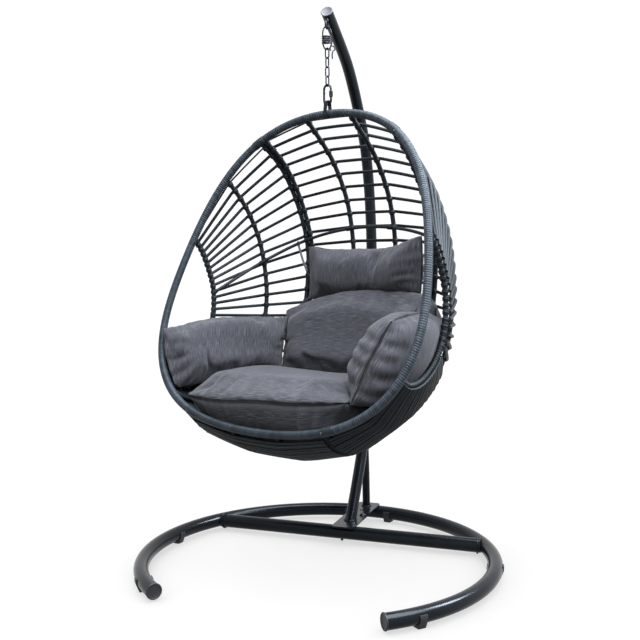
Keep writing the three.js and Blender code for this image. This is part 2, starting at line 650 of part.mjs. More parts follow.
function addCushions() {
  const clear = 2;
  const edgeRibs = [0, 7].map((station) => ribTube(station, RIB_TUBE + 12));
  const floorRibs = [3, 4].map((station) => ribTube(station, RIB_TUBE + clear));
  const around = [bowl(), ...edgeRibs, ...floorRibs, rimCutter(-1), rimCutter(1), ...topAndBottomCutter()];
  const seatAndBack = [softBlock(SEAT, clear), softBlock(BACK, clear)];
  addMesh('cushion_seat', cut(softBlock(SEAT), around), charcoalCloth());
  addMesh('cushion_back', cut(softBlock(BACK), [...around, softBlock(SEAT, clear)]), charcoalCloth());
  addMesh('cushion_arm_left', cut(softBlock(ARM_LEFT), [...around, ...seatAndBack]), charcoalCloth());
  addMesh('cushion_arm_right', cut(softBlock(ARM_RIGHT), [...around, ...seatAndBack]), charcoalCloth());
  addMesh('cushion_head', cut(softBlock(HEAD), around), charcoalCloth());
}

// ---------------------------------------------------------------- assembly
addStand();
const rimSeatHeight = addHanger();
addBasketFrame(rimSeatHeight);
addWeave();
addCushions();

// The part stands on the floor with the middle of its bounding box over the origin.
const bounds = new THREE.Box3().setFromObject(part, true);
const middle = bounds.getCenter(new THREE.Vector3());
part.position.set(-middle.x, -middle.y, -bounds.min.z);

export default part;
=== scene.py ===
"""Looks of a hanging egg chair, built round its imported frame. Metres, +Z up, front towards -Y."""

import math

import bpy
import numpy as np
from mathutils import Euler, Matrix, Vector, noise
from mathutils.bvhtree import BVHTree
from mathutils.kdtree import KDTree


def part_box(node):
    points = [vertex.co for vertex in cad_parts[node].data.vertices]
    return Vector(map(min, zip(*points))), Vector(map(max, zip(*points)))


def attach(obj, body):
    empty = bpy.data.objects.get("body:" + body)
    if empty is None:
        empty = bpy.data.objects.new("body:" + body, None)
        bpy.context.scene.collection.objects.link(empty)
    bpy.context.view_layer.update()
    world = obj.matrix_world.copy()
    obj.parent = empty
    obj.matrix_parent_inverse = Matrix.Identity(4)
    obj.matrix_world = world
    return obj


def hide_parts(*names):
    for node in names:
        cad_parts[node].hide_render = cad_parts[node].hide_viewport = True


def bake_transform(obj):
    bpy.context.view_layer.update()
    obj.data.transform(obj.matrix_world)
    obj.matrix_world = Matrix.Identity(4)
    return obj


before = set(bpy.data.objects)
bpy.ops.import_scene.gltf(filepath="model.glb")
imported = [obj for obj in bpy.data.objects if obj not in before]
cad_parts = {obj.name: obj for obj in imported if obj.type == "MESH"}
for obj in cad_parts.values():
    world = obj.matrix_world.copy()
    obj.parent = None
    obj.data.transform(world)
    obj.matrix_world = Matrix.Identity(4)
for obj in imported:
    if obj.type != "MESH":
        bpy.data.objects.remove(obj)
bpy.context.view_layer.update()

# ---------------------------------------------------------------- driving dimensions, in mm
MM = 0.001
UP = np.array([0.0, 0.0, 1.0])

BASE_RADIUS, BASE_TUBE, BASE_HEIGHT, BASE_OPENING = 600, 25, 34, 38.5
CROSS_TUBE_Y = 295
CROSS_HALF = math.sqrt(BASE_RADIUS**2 - CROSS_TUBE_Y**2) - 14
PLATE_TOP = 65.3
MAST_TUBE, STRUT_TUBE = 21, 15
MAST_ROUTE = [
    (138, 1905), (328, 1787), (381, 1744), (434, 1687), (500, 1603), (569, 1500), (612, 1380),
    (638, 1255), (652, 1120), (655, 980), (645, 820), (622, 660), (584, 490), (520, 325),
    (439, 186), (350, 52),
]
STRUT_ROUTE = [(562, 52), (558, 170), (549, 290), (536, 400)]
MAST_FOOT_Y, STRUT_FOOT_Y = 357.5, 561.5
BOLT_PLACES = [(25, 429), (-25, 429)]

HANG_Y = 138
EYE_HEIGHT, EYE_RADIUS, EYE_WIRE, EYE_NECK = 1862, 14, 3.5, 5.2
SPRING_TOP, SPRING_TURNS, SPRING_PITCH, SPRING_RADIUS, SPRING_WIRE = 1825, 4, 7, 16.5, 2.7
SPRING_PLAN = 40
HOOK_WIRE = 2.5
LINK_WIDTH, LINK_WIRE = 20, 2.5
QUICK_WIDTH, QUICK_WIRE = 38, 3.9

RIM_HEIGHT = 1558
BASKET_YAW, BASKET_TILT = -18.9, 20.7
RIM_TUBE = 14
RIM_JOINT = 30.5
RIM_MIDDLE = 587
RIM_OUTLINE = [569, -3, 11, 31, -18, -2, 1, -2]
RIB_TUBE = 8.5
RIB_SPREAD = 8.8
WOUND_RIB = 12.2
BRACE_TUBE = 6
STRAND = 5.7
STRAND_OFFSET = RIB_TUBE + STRAND - 0.6
OPEN_TO, CLOSE_TO = 0.62, 0.985
BACK_STRANDS = [0.014] + [0.037 + 0.030 * i for i in range(20)]
WING_STRANDS = [0.022] + [0.050 + 0.0332 * i for i in range(17)]
BACK_ROWS, SIDE_ROWS = 60, 44

# Half ribs: how far across, and where they run, down the rim plane and behind it.
RIB_A = (512, [
    (451, 0), (480, 52), (533, 108), (594, 156), (678, 186), (736, 190), (792, 178),
    (845, 150), (890, 108), (915, 54), (906, 0),
])
RIB_B = (418, [
    (221, 0), (246, 65), (282, 137), (328, 199), (372, 246), (425, 286), (491, 325),
    (553, 352), (634, 371), (732, 372), (830, 340), (920, 275), (995, 185), (1034, 88),
    (1030, 0),
])
RIB_C = (282, [
    (79, 0), (94, 70), (119, 140), (160, 208), (208, 269), (252, 314), (296, 352),
    (357, 391), (420, 415), (530, 441), (660, 454), (780, 440), (888, 400), (984, 340),
    (1066, 250), (1116, 155), (1122, 70), (1094, 0),
])
RIB_D = (96, [
    (7, 0), (28, 58), (48, 114), (77, 180), (112, 235), (151, 284), (188, 322), (244, 365),
    (331, 415), (432, 454), (564, 482), (720, 490), (864, 466), (984, 412), (1080, 336),
    (1142, 228), (1162, 120), (1152, 48), (1123, 0),
])
LAST_RIB = 7
BRACE_HEIGHTS = [0.352, 0.303, 0.29, 0.278, 0.278, 0.29, 0.303, 0.352]

link_low, link_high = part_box("chain_link_1")
HANG = np.array([(link_low.x + link_high.x) / 2, (link_low.y + link_high.y) / 2, RIM_HEIGHT * MM])
HANG_AXIS = HANG * [1, 1, 0]
RING_CENTRE = HANG_AXIS - [0, HANG_Y * MM, 0]


# ---------------------------------------------------------------- places
def unit(vectors):
    return vectors / np.linalg.norm(vectors, axis=-1, keepdims=True)


yaw, tilt = math.radians(BASKET_YAW), math.radians(BASKET_TILT)
RIGHTWARD = np.array([math.cos(yaw), math.sin(yaw), 0.0])
FORWARD = np.array([math.sin(yaw), -math.cos(yaw), 0.0])
DOWN_RIM = FORWARD * math.sin(tilt) - UP * math.cos(tilt)
BEHIND_RIM = np.cross(RIGHTWARD, DOWN_RIM)


def stand_points(points):
    """From millimetres about the middle of the floor ring to the chair's metres."""
    return RING_CENTRE + np.asarray(points, float) * MM


def basket_points(points):
    """From millimetres across, down and behind the rim to the chair's metres."""
    across, down, behind = np.moveaxis(np.asarray(points, float) * MM, -1, 0)
    return (HANG + across[..., None] * RIGHTWARD + down[..., None] * DOWN_RIM
            + behind[..., None] * BEHIND_RIM)


def upright_points(points):
    """From millimetres across, back and up in the frame that hangs at the rim's top."""
    across, back, up = np.moveaxis(np.asarray(points, float) * MM, -1, 0)
    return HANG + across[..., None] * RIGHTWARD - back[..., None] * FORWARD + up[..., None] * UP


def spline(points, shares):
    """Centripetal Catmull-Rom spline through points, at shares 0 to 1 of its spans."""
    p = np.asarray(points, float)
    p = np.vstack([2 * p[0] - p[1], p, 2 * p[-1] - p[-2]])
    spans = len(p) - 3
    where = np.clip(np.asarray(shares, float), 0, 1) * spans
    i = np.minimum(where.astype(int), spans - 1)
    w = (where - i)[:, None]
    a, b, c, d = p[i], p[i + 1], p[i + 2], p[i + 3]
    ta, tb, tc = (np.linalg.norm(y - x, axis=1)[:, None] ** 0.5 for x, y in ((a, b), (b, c), (c, d)))
    m1 = tb * ((b - a) / ta - (c - a) / (ta + tb) + (c - b) / tb)
    m2 = tb * ((c - b) / tb - (d - b) / (tb + tc) + (d - c) / tc)
    return b + m1 * w + (3 * (c - b) - 2 * m1 - m2) * w**2 + (2 * (b - c) + m1 + m2) * w**3


def run_along(line):
    """Distance along a line of points, from 0 at its start."""
    return np.concatenate([[0], np.cumsum(np.linalg.norm(np.diff(line, axis=0), axis=1))])


def at_distances(line, run, distances):
    """Points of a line at the given distances along it, for distances of any shape."""
    return np.stack([np.interp(distances, run, line[:, k]) for k in range(line.shape[1])], axis=-1)


def even_spline(points, count):
    line = spline(points, np.linspace(0, 1, 600))
    run = run_along(line)
    return at_distances(line, run, np.linspace(0, run[-1], count))


def rim_points(degrees):
    turn = np.radians(np.asarray(degrees, float))
    radius = sum(size * np.cos(i * turn) for i, size in enumerate(RIM_OUTLINE))
    across, down = radius * np.sin(turn), RIM_MIDDLE - radius * np.cos(turn)
    return basket_points(np.stack([across, down, np.zeros_like(turn)], axis=-1))


class Skin:
    """The basket's skin: station runs from rib to rib, 0 to LAST_RIB, and down 0 to 1 along one."""

    ROWS, PER_RIB = 321, 40

    def __init__(self):
        halves = (RIB_A, RIB_B, RIB_C, RIB_D)
        ribs = [(-across, line) for across, line in halves] + list(reversed(halves))
        lines = [even_spline([(across, d, b) for d, b in line], self.ROWS) for across, line in ribs]
        shares = np.linspace(0, 1, LAST_RIB * self.PER_RIB + 1)
        self.grid = np.stack([spline(row, shares) for row in np.stack(lines, axis=1)])
        self.across = unit(np.gradient(self.grid, axis=1))
        self.outward = unit(np.cross(self.across, np.gradient(self.grid, axis=0)))

    def read(self, table, station, down):
        c = np.clip(station, 0, LAST_RIB) * self.PER_RIB
        r = np.clip(down, 0, 1) * (self.ROWS - 1)
        c0 = np.minimum(c.astype(int), table.shape[1] - 2)
        r0 = np.minimum(r.astype(int), table.shape[0] - 2)
        fc, fr = (c - c0)[..., None], (r - r0)[..., None]
        upper = (1 - fc) * table[r0, c0] + fc * table[r0, c0 + 1]
        lower = (1 - fc) * table[r0 + 1, c0] + fc * table[r0 + 1, c0 + 1]
        return (1 - fr) * upper + fr * lower

    def points(self, station, down, offset=0.0, sideways=0.0):
        station, down, offset, sideways = np.broadcast_arrays(
            *(np.asarray(x, float) for x in (station, down, offset, sideways)))
        spot = self.read(self.grid, station, down)
        spot = spot + self.read(self.outward, station, down) * offset[..., None]
        return basket_points(spot + self.read(self.across, station, down) * sideways[..., None])

    def outward_at(self, station, down):
        station, down = np.broadcast_arrays(np.asarray(station, float), np.asarray(down, float))
        n = self.read(self.outward, station, down)
        return unit(basket_points(n) - HANG)


skin = Skin()


# ---------------------------------------------------------------- meshes
SCATTER_TURN, SCATTER_GAIN = 12.9898, 43758.5453


def scatter(index):
    """A repeatable share from 0 to 1 for a number, or for each number of an array."""
    return np.sin(index * SCATTER_TURN) * SCATTER_GAIN % 1


def hue(index, spread=1.0):
    """A repeatable number about 0.5 for each piece of strand."""
    return 0.5 + spread * (scatter(index) - 0.5)


def link_new(name, data):
    obj = bpy.data.objects.new(name, data)
    bpy.context.scene.collection.objects.link(obj)
    return obj


def new_mesh(name, points, faces, attribute, values, layer, uvs):
    """A mesh with one value and one UV place for each of its points."""
    mesh = bpy.data.meshes.new(name)
    mesh.from_pydata(points.tolist(), [], faces)
    values = np.asarray(values, np.float32)
    mesh.attributes.new(attribute, "FLOAT", "POINT").data.foreach_set("value", values)
    corners = np.empty(len(mesh.loops), np.int32)
    mesh.loops.foreach_get("vertex_index", corners)
    uvs = uvs[corners].astype(np.float32).ravel()
    mesh.uv_layers.new(name=layer).data.foreach_set("uv", uvs)
    return mesh


class Surface:
    """Collects tubes into one mesh. Its UV map holds u round a tube and v along it, in metres."""

    def __init__(self):
        self.points, self.faces, self.uvs, self.tints, self.total = [], [], [], [], 0

    def add(self, points, faces, uvs, tint=0.5):
        points = np.asarray(points, float).reshape(-1, 3)
        self.points.append(points)
        self.faces.append(np.asarray(faces, int) + self.total)
        self.uvs.append(np.asarray(uvs, float).reshape(-1, 2))
        self.tints.append(np.broadcast_to(np.asarray(tint, float), len(points)))
        self.total += len(points)

    def build(self, name, material, body, slot, nodes=(), smooth=True):
        """Makes the piece, which stands for the CAD nodes named. With no body, it is left unattached."""
        faces = [face[:3] if face[3] == face[2] else face for face in np.vstack(self.faces).tolist()]
        mesh = new_mesh(name, np.vstack(self.points), faces, "tint", np.concatenate(self.tints),
                        "run", np.vstack(self.uvs))
        mesh.shade_smooth() if smooth else mesh.shade_flat()
        mesh.materials.append(MATERIALS[material])
        piece = link_new(name, mesh)
        if body:
            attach(piece, body)
        if nodes:
            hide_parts(*nodes)
        return piece


def axes_along(line, reference, closed=False):
    step = np.roll(line, -1, 0) - np.roll(line, 1, 0) if closed else np.gradient(line, axis=0)
    along = unit(step)
    side = unit(np.cross(along, np.broadcast_to(reference, line.shape)))
    return side, np.cross(side, along)


def ring_faces(rings, sides, shift=0, closed=False):
    """Quads between rings of points; the last side joins the ring `shift` further on."""
    i, k = np.meshgrid(np.arange(rings if closed else rings - 1), np.arange(sides), indexing="ij")
    wrap = (k == sides - 1) * shift
    near, far = (i + wrap) % rings, (i + 1 + wrap) % rings
    ahead = np.minimum(far, rings - 1) if not closed else far
    next_k = (k + 1) % sides
    quads = np.stack([i * sides + k, (i + 1) % rings * sides + k, ahead * sides + next_k,
                      near * sides + next_k], axis=-1).reshape(-1, 4)
    if shift and not closed:
        quads = quads[(i + 1 + wrap < rings).ravel()]
    return quads


def add_tube(surface, line, radius, reference, sides=10, closed=False, tint=0.5, wide=1.0):
    """A tube along a line of points; `wide` stretches it crosswise."""
    line = np.asarray(line, float)
    side, up = axes_along(line, reference, closed)
    turn = np.arange(sides) * 2 * math.pi / sides
    radius = np.broadcast_to(np.asarray(radius, float), len(line))[:, None, None]
    rings = line[:, None] + radius * (np.cos(turn)[None, :, None] * side[:, None] * wide
                                      + np.sin(turn)[None, :, None] * up[:, None])
    run = run_along(line)
    uvs = np.stack(np.broadcast_arrays(np.arange(sides)[None] / sides, run[:, None]), axis=-1)
    surface.add(rings, ring_faces(len(line), sides, closed=closed), uvs, tint)
    if closed:
        return
    for at, flip in ((0, 1), (-1, -1)):
        corners = np.arange(sides)[::flip]
        points = np.vstack([rings[at], line[at][None]])
        fan = np.stack([np.full(sides, sides), np.roll(corners, -1), corners, corners], axis=1)
        surface.add(points, fan, np.tile([0.5, run[at]], (sides + 1, 1)), tint)


GROOVE_SHADE = 0.95  # painted shade: how much darker the strand's tone is at the bottom of a groove


def add_wound_tube(surface, line, core, radius, reference, pitch, groove, sides=14,
                   profile=(0.0, 0.5, 1.0, 0.5), tint=0.5, taper=0.0):
    """A tube wound with strand: its grooves run round it as one long helix."""
    line = np.asarray(line, float)
    run = run_along(line)
    side, up = axes_along(line, reference)
    steps = len(profile)
    rings = max(int(run[-1] / pitch * steps) + 1, steps + 2)
    start = np.linspace(-pitch, run[-1], rings + steps)
    turn = np.arange(sides) * 2 * math.pi / sides
    distance = np.clip(start[:, None] + pitch * np.arange(sides)[None] / sides, 0, run[-1])
    depth = np.asarray(profile)[np.arange(len(start)) % steps][:, None]
    size = radius - groove * depth + np.zeros_like(distance)
    if taper:
        ends = np.minimum(distance, run[-1] - distance) / taper
        size = core + (size - core) * np.sqrt(np.clip(ends, 0, 1))
    centre = at_distances(line, run, distance)
    a, b = at_distances(side, run, distance), at_distances(up, run, distance)
    points = centre + size[..., None] * (np.cos(turn)[None, :, None] * a
                                         + np.sin(turn)[None, :, None] * b)
    u = np.broadcast_to(np.arange(sides)[None] / sides, distance.shape)
    uvs = np.stack([u, distance], axis=-1)
    wobble = scatter(np.arange(len(start)) // steps) - 0.5
    # Painted shade: the tone darkens with the groove's depth, down in the recess between turns.
    tone = np.clip(tint + 0.5 * wobble[:, None], 0, 1) * (1 - GROOVE_SHADE * depth)
    tone = np.broadcast_to(tone, distance.shape)
    surface.add(points, ring_faces(len(start), sides, shift=steps), uvs, tone.ravel())


def add_turned(surface, profile, start, direction, sides=48, tint=0.5):
    """A turned piece: profile holds (radius, distance along direction), in mm."""
    axis = unit(np.asarray(direction, float))
    side = unit(np.cross(axis, [0.31, 0.52, 0.79]))
    other = np.cross(axis, side)
    turn = np.arange(sides) * 2 * math.pi / sides
    radius, along = (np.array(profile, float) * MM).T
    round_about = np.cos(turn)[None, :, None] * side + np.sin(turn)[None, :, None] * other
    rings = start + along[:, None, None] * axis + np.maximum(radius, 1e-6)[:, None, None] * round_about
    run = np.cumsum(np.hypot(np.diff(radius, prepend=radius[0]), np.diff(along, prepend=along[0])))
    uvs = np.stack(np.broadcast_arrays(np.arange(sides)[None] / sides, run[:, None]), axis=-1)
    surface.add(rings, ring_faces(len(radius), sides)[:, ::-1], uvs, tint)


# ---------------------------------------------------------------- materials
class Nodes:
    """Short calls for building a node material."""

    def __init__(self, name, **principled):
        self.material = bpy.data.materials.new(name)
        self.material.use_nodes = True
        self.tree = self.material.node_tree
        self.shader = self.tree.nodes["Principled BSDF"]
        for socket, value in principled.items():
            self.shader.inputs[socket.replace("_", " ")].default_value = value

    def add(self, kind, **settings):
        node = self.tree.nodes.new(kind)
        for key, value in settings.items():
            setattr(node, key, value)
        return node

    def link(self, output, target):
        self.tree.links.new(output, target)

    def coordinates(self, kind, stretch=(1, 1, 1)):
        source = self.add("ShaderNodeTexCoord")
        mapping = self.add("ShaderNodeMapping")
        mapping.inputs["Scale"].default_value = stretch
        self.link(source.outputs[kind], mapping.inputs["Vector"])
        return mapping.outputs["Vector"]

    def noise(self, vector, scale=1.0, detail=3.0, rough=0.55):
        node = self.add("ShaderNodeTexNoise")
        node.inputs["Scale"].default_value = scale
        node.inputs["Detail"].default_value = detail
        node.inputs["Roughness"].default_value = rough
        self.link(vector, node.inputs["Vector"])
        return node.outputs["Fac"]

    def wave(self, vector, direction, scale):
        node = self.add("ShaderNodeTexWave", wave_type="BANDS", bands_direction=direction)
        node.inputs["Scale"].default_value = scale
        self.link(vector, node.inputs["Vector"])
        return node.outputs["Fac"]

    def ramp(self, factor, stops):
        node = self.add("ShaderNodeValToRGB")
        for _ in stops[2:]:
            node.color_ramp.elements.new(0.5)
        for element, (place, colour) in zip(node.color_ramp.elements, stops):
            element.position = place
            element.color = (*colour, 1) if len(colour) == 3 else colour
        self.link(factor, node.inputs["Fac"])
        return node.outputs["Color"]

    def range(self, factor, low, high):
        node = self.add("ShaderNodeMapRange")
        node.inputs["To Min"].default_value = low
        node.inputs["To Max"].default_value = high
        self.link(factor, node.inputs["Value"])
        return node.outputs["Result"]

    def math(self, operation, a, b):
        node = self.add("ShaderNodeMath", operation=operation)
        for socket, value in zip(node.inputs, (a, b)):
            if isinstance(value, (int, float)):
                socket.default_value = value
            else:
                self.link(value, socket)
        return node.outputs[0]

    def mix(self, factor, a, b, blend="MIX"):
        node = self.add("ShaderNodeMix", data_type="RGBA", blend_type=blend)
        for socket, value in zip((node.inputs[0], node.inputs[6], node.inputs[7]), (factor, a, b)):
            if isinstance(value, (int, float)):
                socket.default_value = value
            elif isinstance(value, tuple):
                socket.default_value = (*value, 1)
            else:
                self.link(value, socket)
        return node.outputs[2]

    def attribute(self, name):
        return self.add("ShaderNodeAttribute", attribute_name=name).outputs["Fac"]

    def bump(self, height, distance, strength=1.0, before=None):
        node = self.add("ShaderNodeBump")
        node.inputs["Distance"].default_value = distance
        node.inputs["Strength"].default_value = strength
        self.link(height, node.inputs["Height"])
        if before is not None:
            self.link(before, node.inputs["Normal"])
        return node.outputs["Normal"]

    def set(self, **sockets):
        for socket, output in sockets.items():
            self.link(output, self.shader.inputs[socket.replace("_", " ")])
        return self.material


def coated_steel(name, dark, light, roughness):
    """Satin powder coat: fine orange peel, faint clouding and a few dusty scuffs."""
    n = Nodes(name, Specular_IOR_Level=0.14, Specular_Tint=(0.8, 0.9, 1.0, 1))
    place = n.coordinates("Object")
    cloud = n.noise(place, 9, 4)
    peel = n.noise(place, 900, 2)
    scuff = n.ramp(n.noise(place, 55, 6, 0.7), [(0.62, (0, 0, 0)), (0.78, (1, 1, 1))])
    colour = n.ramp(cloud, [(0.3, dark), (0.75, light)])
    dusty = tuple(2.5 * c + 0.004 for c in light)
    colour = n.mix(n.math("MULTIPLY", scuff, 0.2), colour, dusty)
    rough = n.math("ADD", n.range(cloud, roughness - 0.06, roughness + 0.1),
                   n.math("MULTIPLY", scuff, 0.15))
    return n.set(Base_Color=colour, Roughness=rough, Normal=n.bump(peel, 0.00025, 0.5))


def moulded_plastic(name, colour, roughness=0.5):
    """Moulded plastic with a fine spark-eroded grain."""
    n = Nodes(name, Specular_IOR_Level=0.22)
    place = n.coordinates("Object")
    grain = n.noise(place, 1400, 3, 0.7)
    cloud = n.noise(place, 30, 3)
    lighter = tuple(min(1, c * 1.35 + 0.004) for c in colour)
    tone = n.ramp(cloud, [(0.35, colour), (0.7, lighter)])
    rough = n.range(grain, roughness - 0.08, roughness + 0.12)
    return n.set(Base_Color=tone, Roughness=rough, Normal=n.bump(grain, 0.0002, 0.45))


def zinc_steel(name):
    """Zinc plate: blue-grey spangle, fine drawing lines and dull spots."""
    n = Nodes(name, Metallic=1.0)
    place = n.coordinates("Object")
    spangle = n.noise(place, 160, 4)
    drawn = n.noise(n.coordinates("UV", (60, 40, 1)), 8, 3)
    tone = n.ramp(spangle, [(0.3, (0.008, 0.009, 0.011)), (0.55, (0.02, 0.022, 0.026)),
                            (0.8, (0.07, 0.076, 0.088))])
    dull = n.ramp(n.noise(place, 45, 5, 0.65), [(0.5, (0, 0, 0)), (0.75, (1, 1, 1))])
    tone = n.mix(n.math("MULTIPLY", dull, 0.5), tone, (0.008, 0.0085, 0.01))
    rough = n.math("ADD", n.range(spangle, 0.24, 0.4), n.math("MULTIPLY", dull, 0.2))
    return n.set(Base_Color=tone, Roughness=rough, Normal=n.bump(drawn, 0.00015, 0.5))


def resin_wicker(name, dark, light, roughness=0.36):
    """Extruded resin strand: fine lines along it, a waxy sheen, each length its own tone."""
    n = Nodes(name, Specular_IOR_Level=0.13, Specular_Tint=(0.78, 0.9, 1.0, 1))
    along = n.coordinates("UV", (26, 30, 1))
    lines = n.noise(along, 1.0, 3, 0.6)
    patches = n.noise(n.coordinates("Object"), 28, 4)
    middle = tuple((a + b) / 2 for a, b in zip(dark, light))
    tone = n.ramp(n.attribute("tint"), [(0.0, dark), (0.55, middle), (1.0, light)])
    streak = n.ramp(lines, [(0.35, (0.55, 0.56, 0.58)), (0.65, (1, 1, 1))])
    tone = n.mix(0.7, tone, streak, "MULTIPLY")
    dust = n.ramp(patches, [(0.5, (0, 0, 0)), (0.8, (1, 1, 1))])
    tone = n.mix(n.math("MULTIPLY", dust, 0.10), tone, (0.05, 0.055, 0.06))
    rough = n.math("ADD", n.range(lines, roughness - 0.07, roughness + 0.1),
                   n.math("MULTIPLY", dust, 0.12))
    return n.set(Base_Color=tone, Roughness=rough, Normal=n.bump(lines, 0.0004, 0.6))


SEAM_SHARE = 0.4  # the seam value from which painted shade darkens the cloth into its stitched groove


def slub_fabric(name, streaks_along):
    """Charcoal outdoor cloth: heathered yarn with slubs that run one way, and stitched seams with
    painted shade along their grooves.
    """
    n = Nodes(name, Roughness=0.92, Specular_IOR_Level=0.1, Sheen_Weight=0.06,
              Sheen_Roughness=0.5)
    long_way, short_way = (22, 900) if streaks_along == "u" else (900, 22)
    slub = n.noise(n.coordinates("UV", (long_way, short_way, 1)), 1.0, 3, 0.6)
    fine_long, fine_short = (90, 1500) if streaks_along == "u" else (1500, 90)
    yarn = n.noise(n.coordinates("UV", (fine_long, fine_short, 1)), 1.0, 2, 0.6)
    cross = n.noise(n.coordinates("UV", (fine_short, fine_long, 1)), 1.0, 2, 0.6)
    cloud = n.noise(n.coordinates("Object"), 7, 3)
    weave_u = n.wave(n.coordinates("UV"), "X", 300)
    weave_v = n.wave(n.coordinates("UV"), "Y", 300)
    tone = n.ramp(slub, [(0.33, (0.013, 0.0134, 0.0162)), (0.5, (0.024, 0.0246, 0.0292)),
                         (0.68, (0.062, 0.063, 0.0725))])
    for share, factor, stops in (
            (0.55, yarn, [(0.3, (0.5, 0.5, 0.52)), (0.7, (1.45, 1.45, 1.45))]),
            (0.3, cross, [(0.3, (0.6, 0.6, 0.6)), (0.7, (1.3, 1.3, 1.3))]),
            (0.35, cloud, [(0.3, (0.75, 0.75, 0.77)), (0.7, (1.1, 1.1, 1.1))]),
            # painted shade: the cloth darkens along its seam's groove
            (1.0, n.attribute("seam"), [(0.0, (1, 1, 1)), (SEAM_SHARE, (0.8, 0.8, 0.8)),
                                        (0.7, (0.06, 0.06, 0.065))])):
        tone = n.mix(share, tone, n.ramp(factor, stops), "MULTIPLY")
    weave = n.math("MULTIPLY", weave_u, weave_v)
    height = n.math("ADD", n.math("MULTIPLY", weave, 0.5), n.math("MULTIPLY", slub, 0.9))
    pucker = n.math("MULTIPLY", n.attribute("seam"), n.noise(n.coordinates("Object"), 95, 3))
    normal = n.bump(pucker, 0.004, 0.6, n.bump(height, 0.0006, 0.75))
    return n.set(Base_Color=tone, Normal=normal)


MATERIALS = {
    "steel": coated_steel("black_powder_coat", (0.0022, 0.0026, 0.0034), (0.0042, 0.0048, 0.0062), 0.17),
    "rib": coated_steel("rib_powder_coat", (0.0045, 0.0055, 0.007), (0.009, 0.0105, 0.013), 0.36),
    "plastic": moulded_plastic("black_plastic", (0.008, 0.008, 0.009)),
    "plug": moulded_plastic("grey_plug", (0.034, 0.034, 0.04), 0.5),
    "zinc": zinc_steel("zinc_plate"),
    "wrap": resin_wicker("rim_wicker", (0.003, 0.0038, 0.005), (0.03, 0.037, 0.047), 0.32),
    "strand": resin_wicker("strand_wicker", (0.0014, 0.0018, 0.0024), (0.0075, 0.0092, 0.0118), 0.46),
    "cloth_across": slub_fabric("charcoal_cloth_across", "u"),
    "cloth_upright": slub_fabric("charcoal_cloth_upright", "v"),
}


# ---------------------------------------------------------------- stand
def ring_line(from_degrees, to_degrees, count):
    turn = np.radians(np.linspace(from_degrees, to_degrees, count))
    flat = np.stack([np.sin(turn), -np.cos(turn)], axis=1) * BASE_RADIUS
    return stand_points(np.column_stack([flat, np.full(count, BASE_HEIGHT)]))


def mast_plane(route, count):
    return even_spline(stand_points([(0, y, z) for y, z in route]), count)


def add_standing_tube(surface, line, radius):
    """A tube that stands on the base plate, its foot cut off level inside the plate."""
    add_tube(surface, line, radius * MM, (1, 0, 0), 36)
    for points in surface.points:
        points[:, 2] = np.maximum(points[:, 2], (PLATE_TOP - 3) * MM)


BEAD = 3.2


def weld_bead(surface, centre, normal, radius, stretch=1.0, lean=(0, 1, 0)):
    """A rippled fillet of weld round a tube's foot."""
    normal = unit(np.asarray(normal, float))
    side = unit(np.cross(normal, lean))
    other = np.cross(side, normal)
    turn = np.linspace(0, 2 * math.pi, 97)[:-1]
    ripple = 1 + 0.12 * np.sin(turn * 29) + 0.07 * np.sin(turn * 17 + 1)
    line = centre + radius * MM * (np.cos(turn)[:, None] * side
                                   + stretch * np.sin(turn)[:, None] * other)
    add_tube(surface, line, BEAD * MM * ripple, normal, 8, closed=True, tint=0.6)


# Turned profiles: (radius, distance along the axis), in mm.
DOME_BOLT = [(0, 0.2), (13, 0.2), (13.2, 0.8), (12.8, 1.7), (10, 1.9), (9, 1.9), (9.1, 4.2),
             (8.3, 5.6), (6.4, 7.2), (4, 8.1), (3.2, 8.2), (2.9, 6.8), (0, 6.8)]
RING_CAP = [(0, 0.3), (26.3, 0.3), (26.7, 1.0), (26.7, 3.2), (25.9, 4.6), (24.4, 5.4),
            (22.4, 5.2), (21.4, 3.9), (20.4, 3.4), (0, 3.4)]
MAST_PLUG = [(0, 0.3), (21.6, 0.3), (22, 1), (21.8, 2.4), (20.2, 3.4), (18.2, 3.2), (17.2, 2.3),
             (0, 2.0)]
PEG = [(0, 0), (5, 0), (5, 6), (4.2, 8.4), (2.4, 9.6), (0, 10)]


def on_stand(surface, name, nodes=(), material="steel", slot="black_steel"):
    surface.build(name, material, "stand", slot, nodes)


def add_tubes():
    cross = [(x, CROSS_TUBE_Y, BASE_HEIGHT) for x in np.linspace(-CROSS_HALF, CROSS_HALF, 30)]
    flat = {
        "floor_ring": ("base_ring", ring_line(BASE_OPENING, 360 - BASE_OPENING, 220)),
        "floor_cross_tube": ("cross_tube", stand_points(cross)),
    }
    for name, (node, line) in flat.items():
        tube = Surface()
        add_tube(tube, line, BASE_TUBE * MM, UP, 40)
        on_stand(tube, name, [node])
    standing = {
        "curved_mast": ("mast", mast_plane(MAST_ROUTE, 260), MAST_TUBE),
        "rear_prop": ("rear_strut", mast_plane(STRUT_ROUTE, 60), STRUT_TUBE),
    }
    for name, (node, line, radius) in standing.items():
        tube = Surface()
        add_standing_tube(tube, line, radius)
        on_stand(tube, name, [node])


def add_welds():
    welds = Surface()
    weld_bead(welds, stand_points((0, MAST_FOOT_Y, PLATE_TOP + 1)), UP, MAST_TUBE + 1.5, 1.17)
    weld_bead(welds, stand_points((0, STRUT_FOOT_Y, PLATE_TOP + 1)), UP, STRUT_TUBE + 1.2)
    back_lean = CROSS_TUBE_Y / BASE_RADIUS
    for side in (-1, 1):
        centre = stand_points((side * (CROSS_HALF - 13), CROSS_TUBE_Y, BASE_HEIGHT))
        weld_bead(welds, centre, (side, back_lean * 0.3, 0), BASE_TUBE + 0.6, 1.05, UP)
    on_stand(welds, "weld_beads")


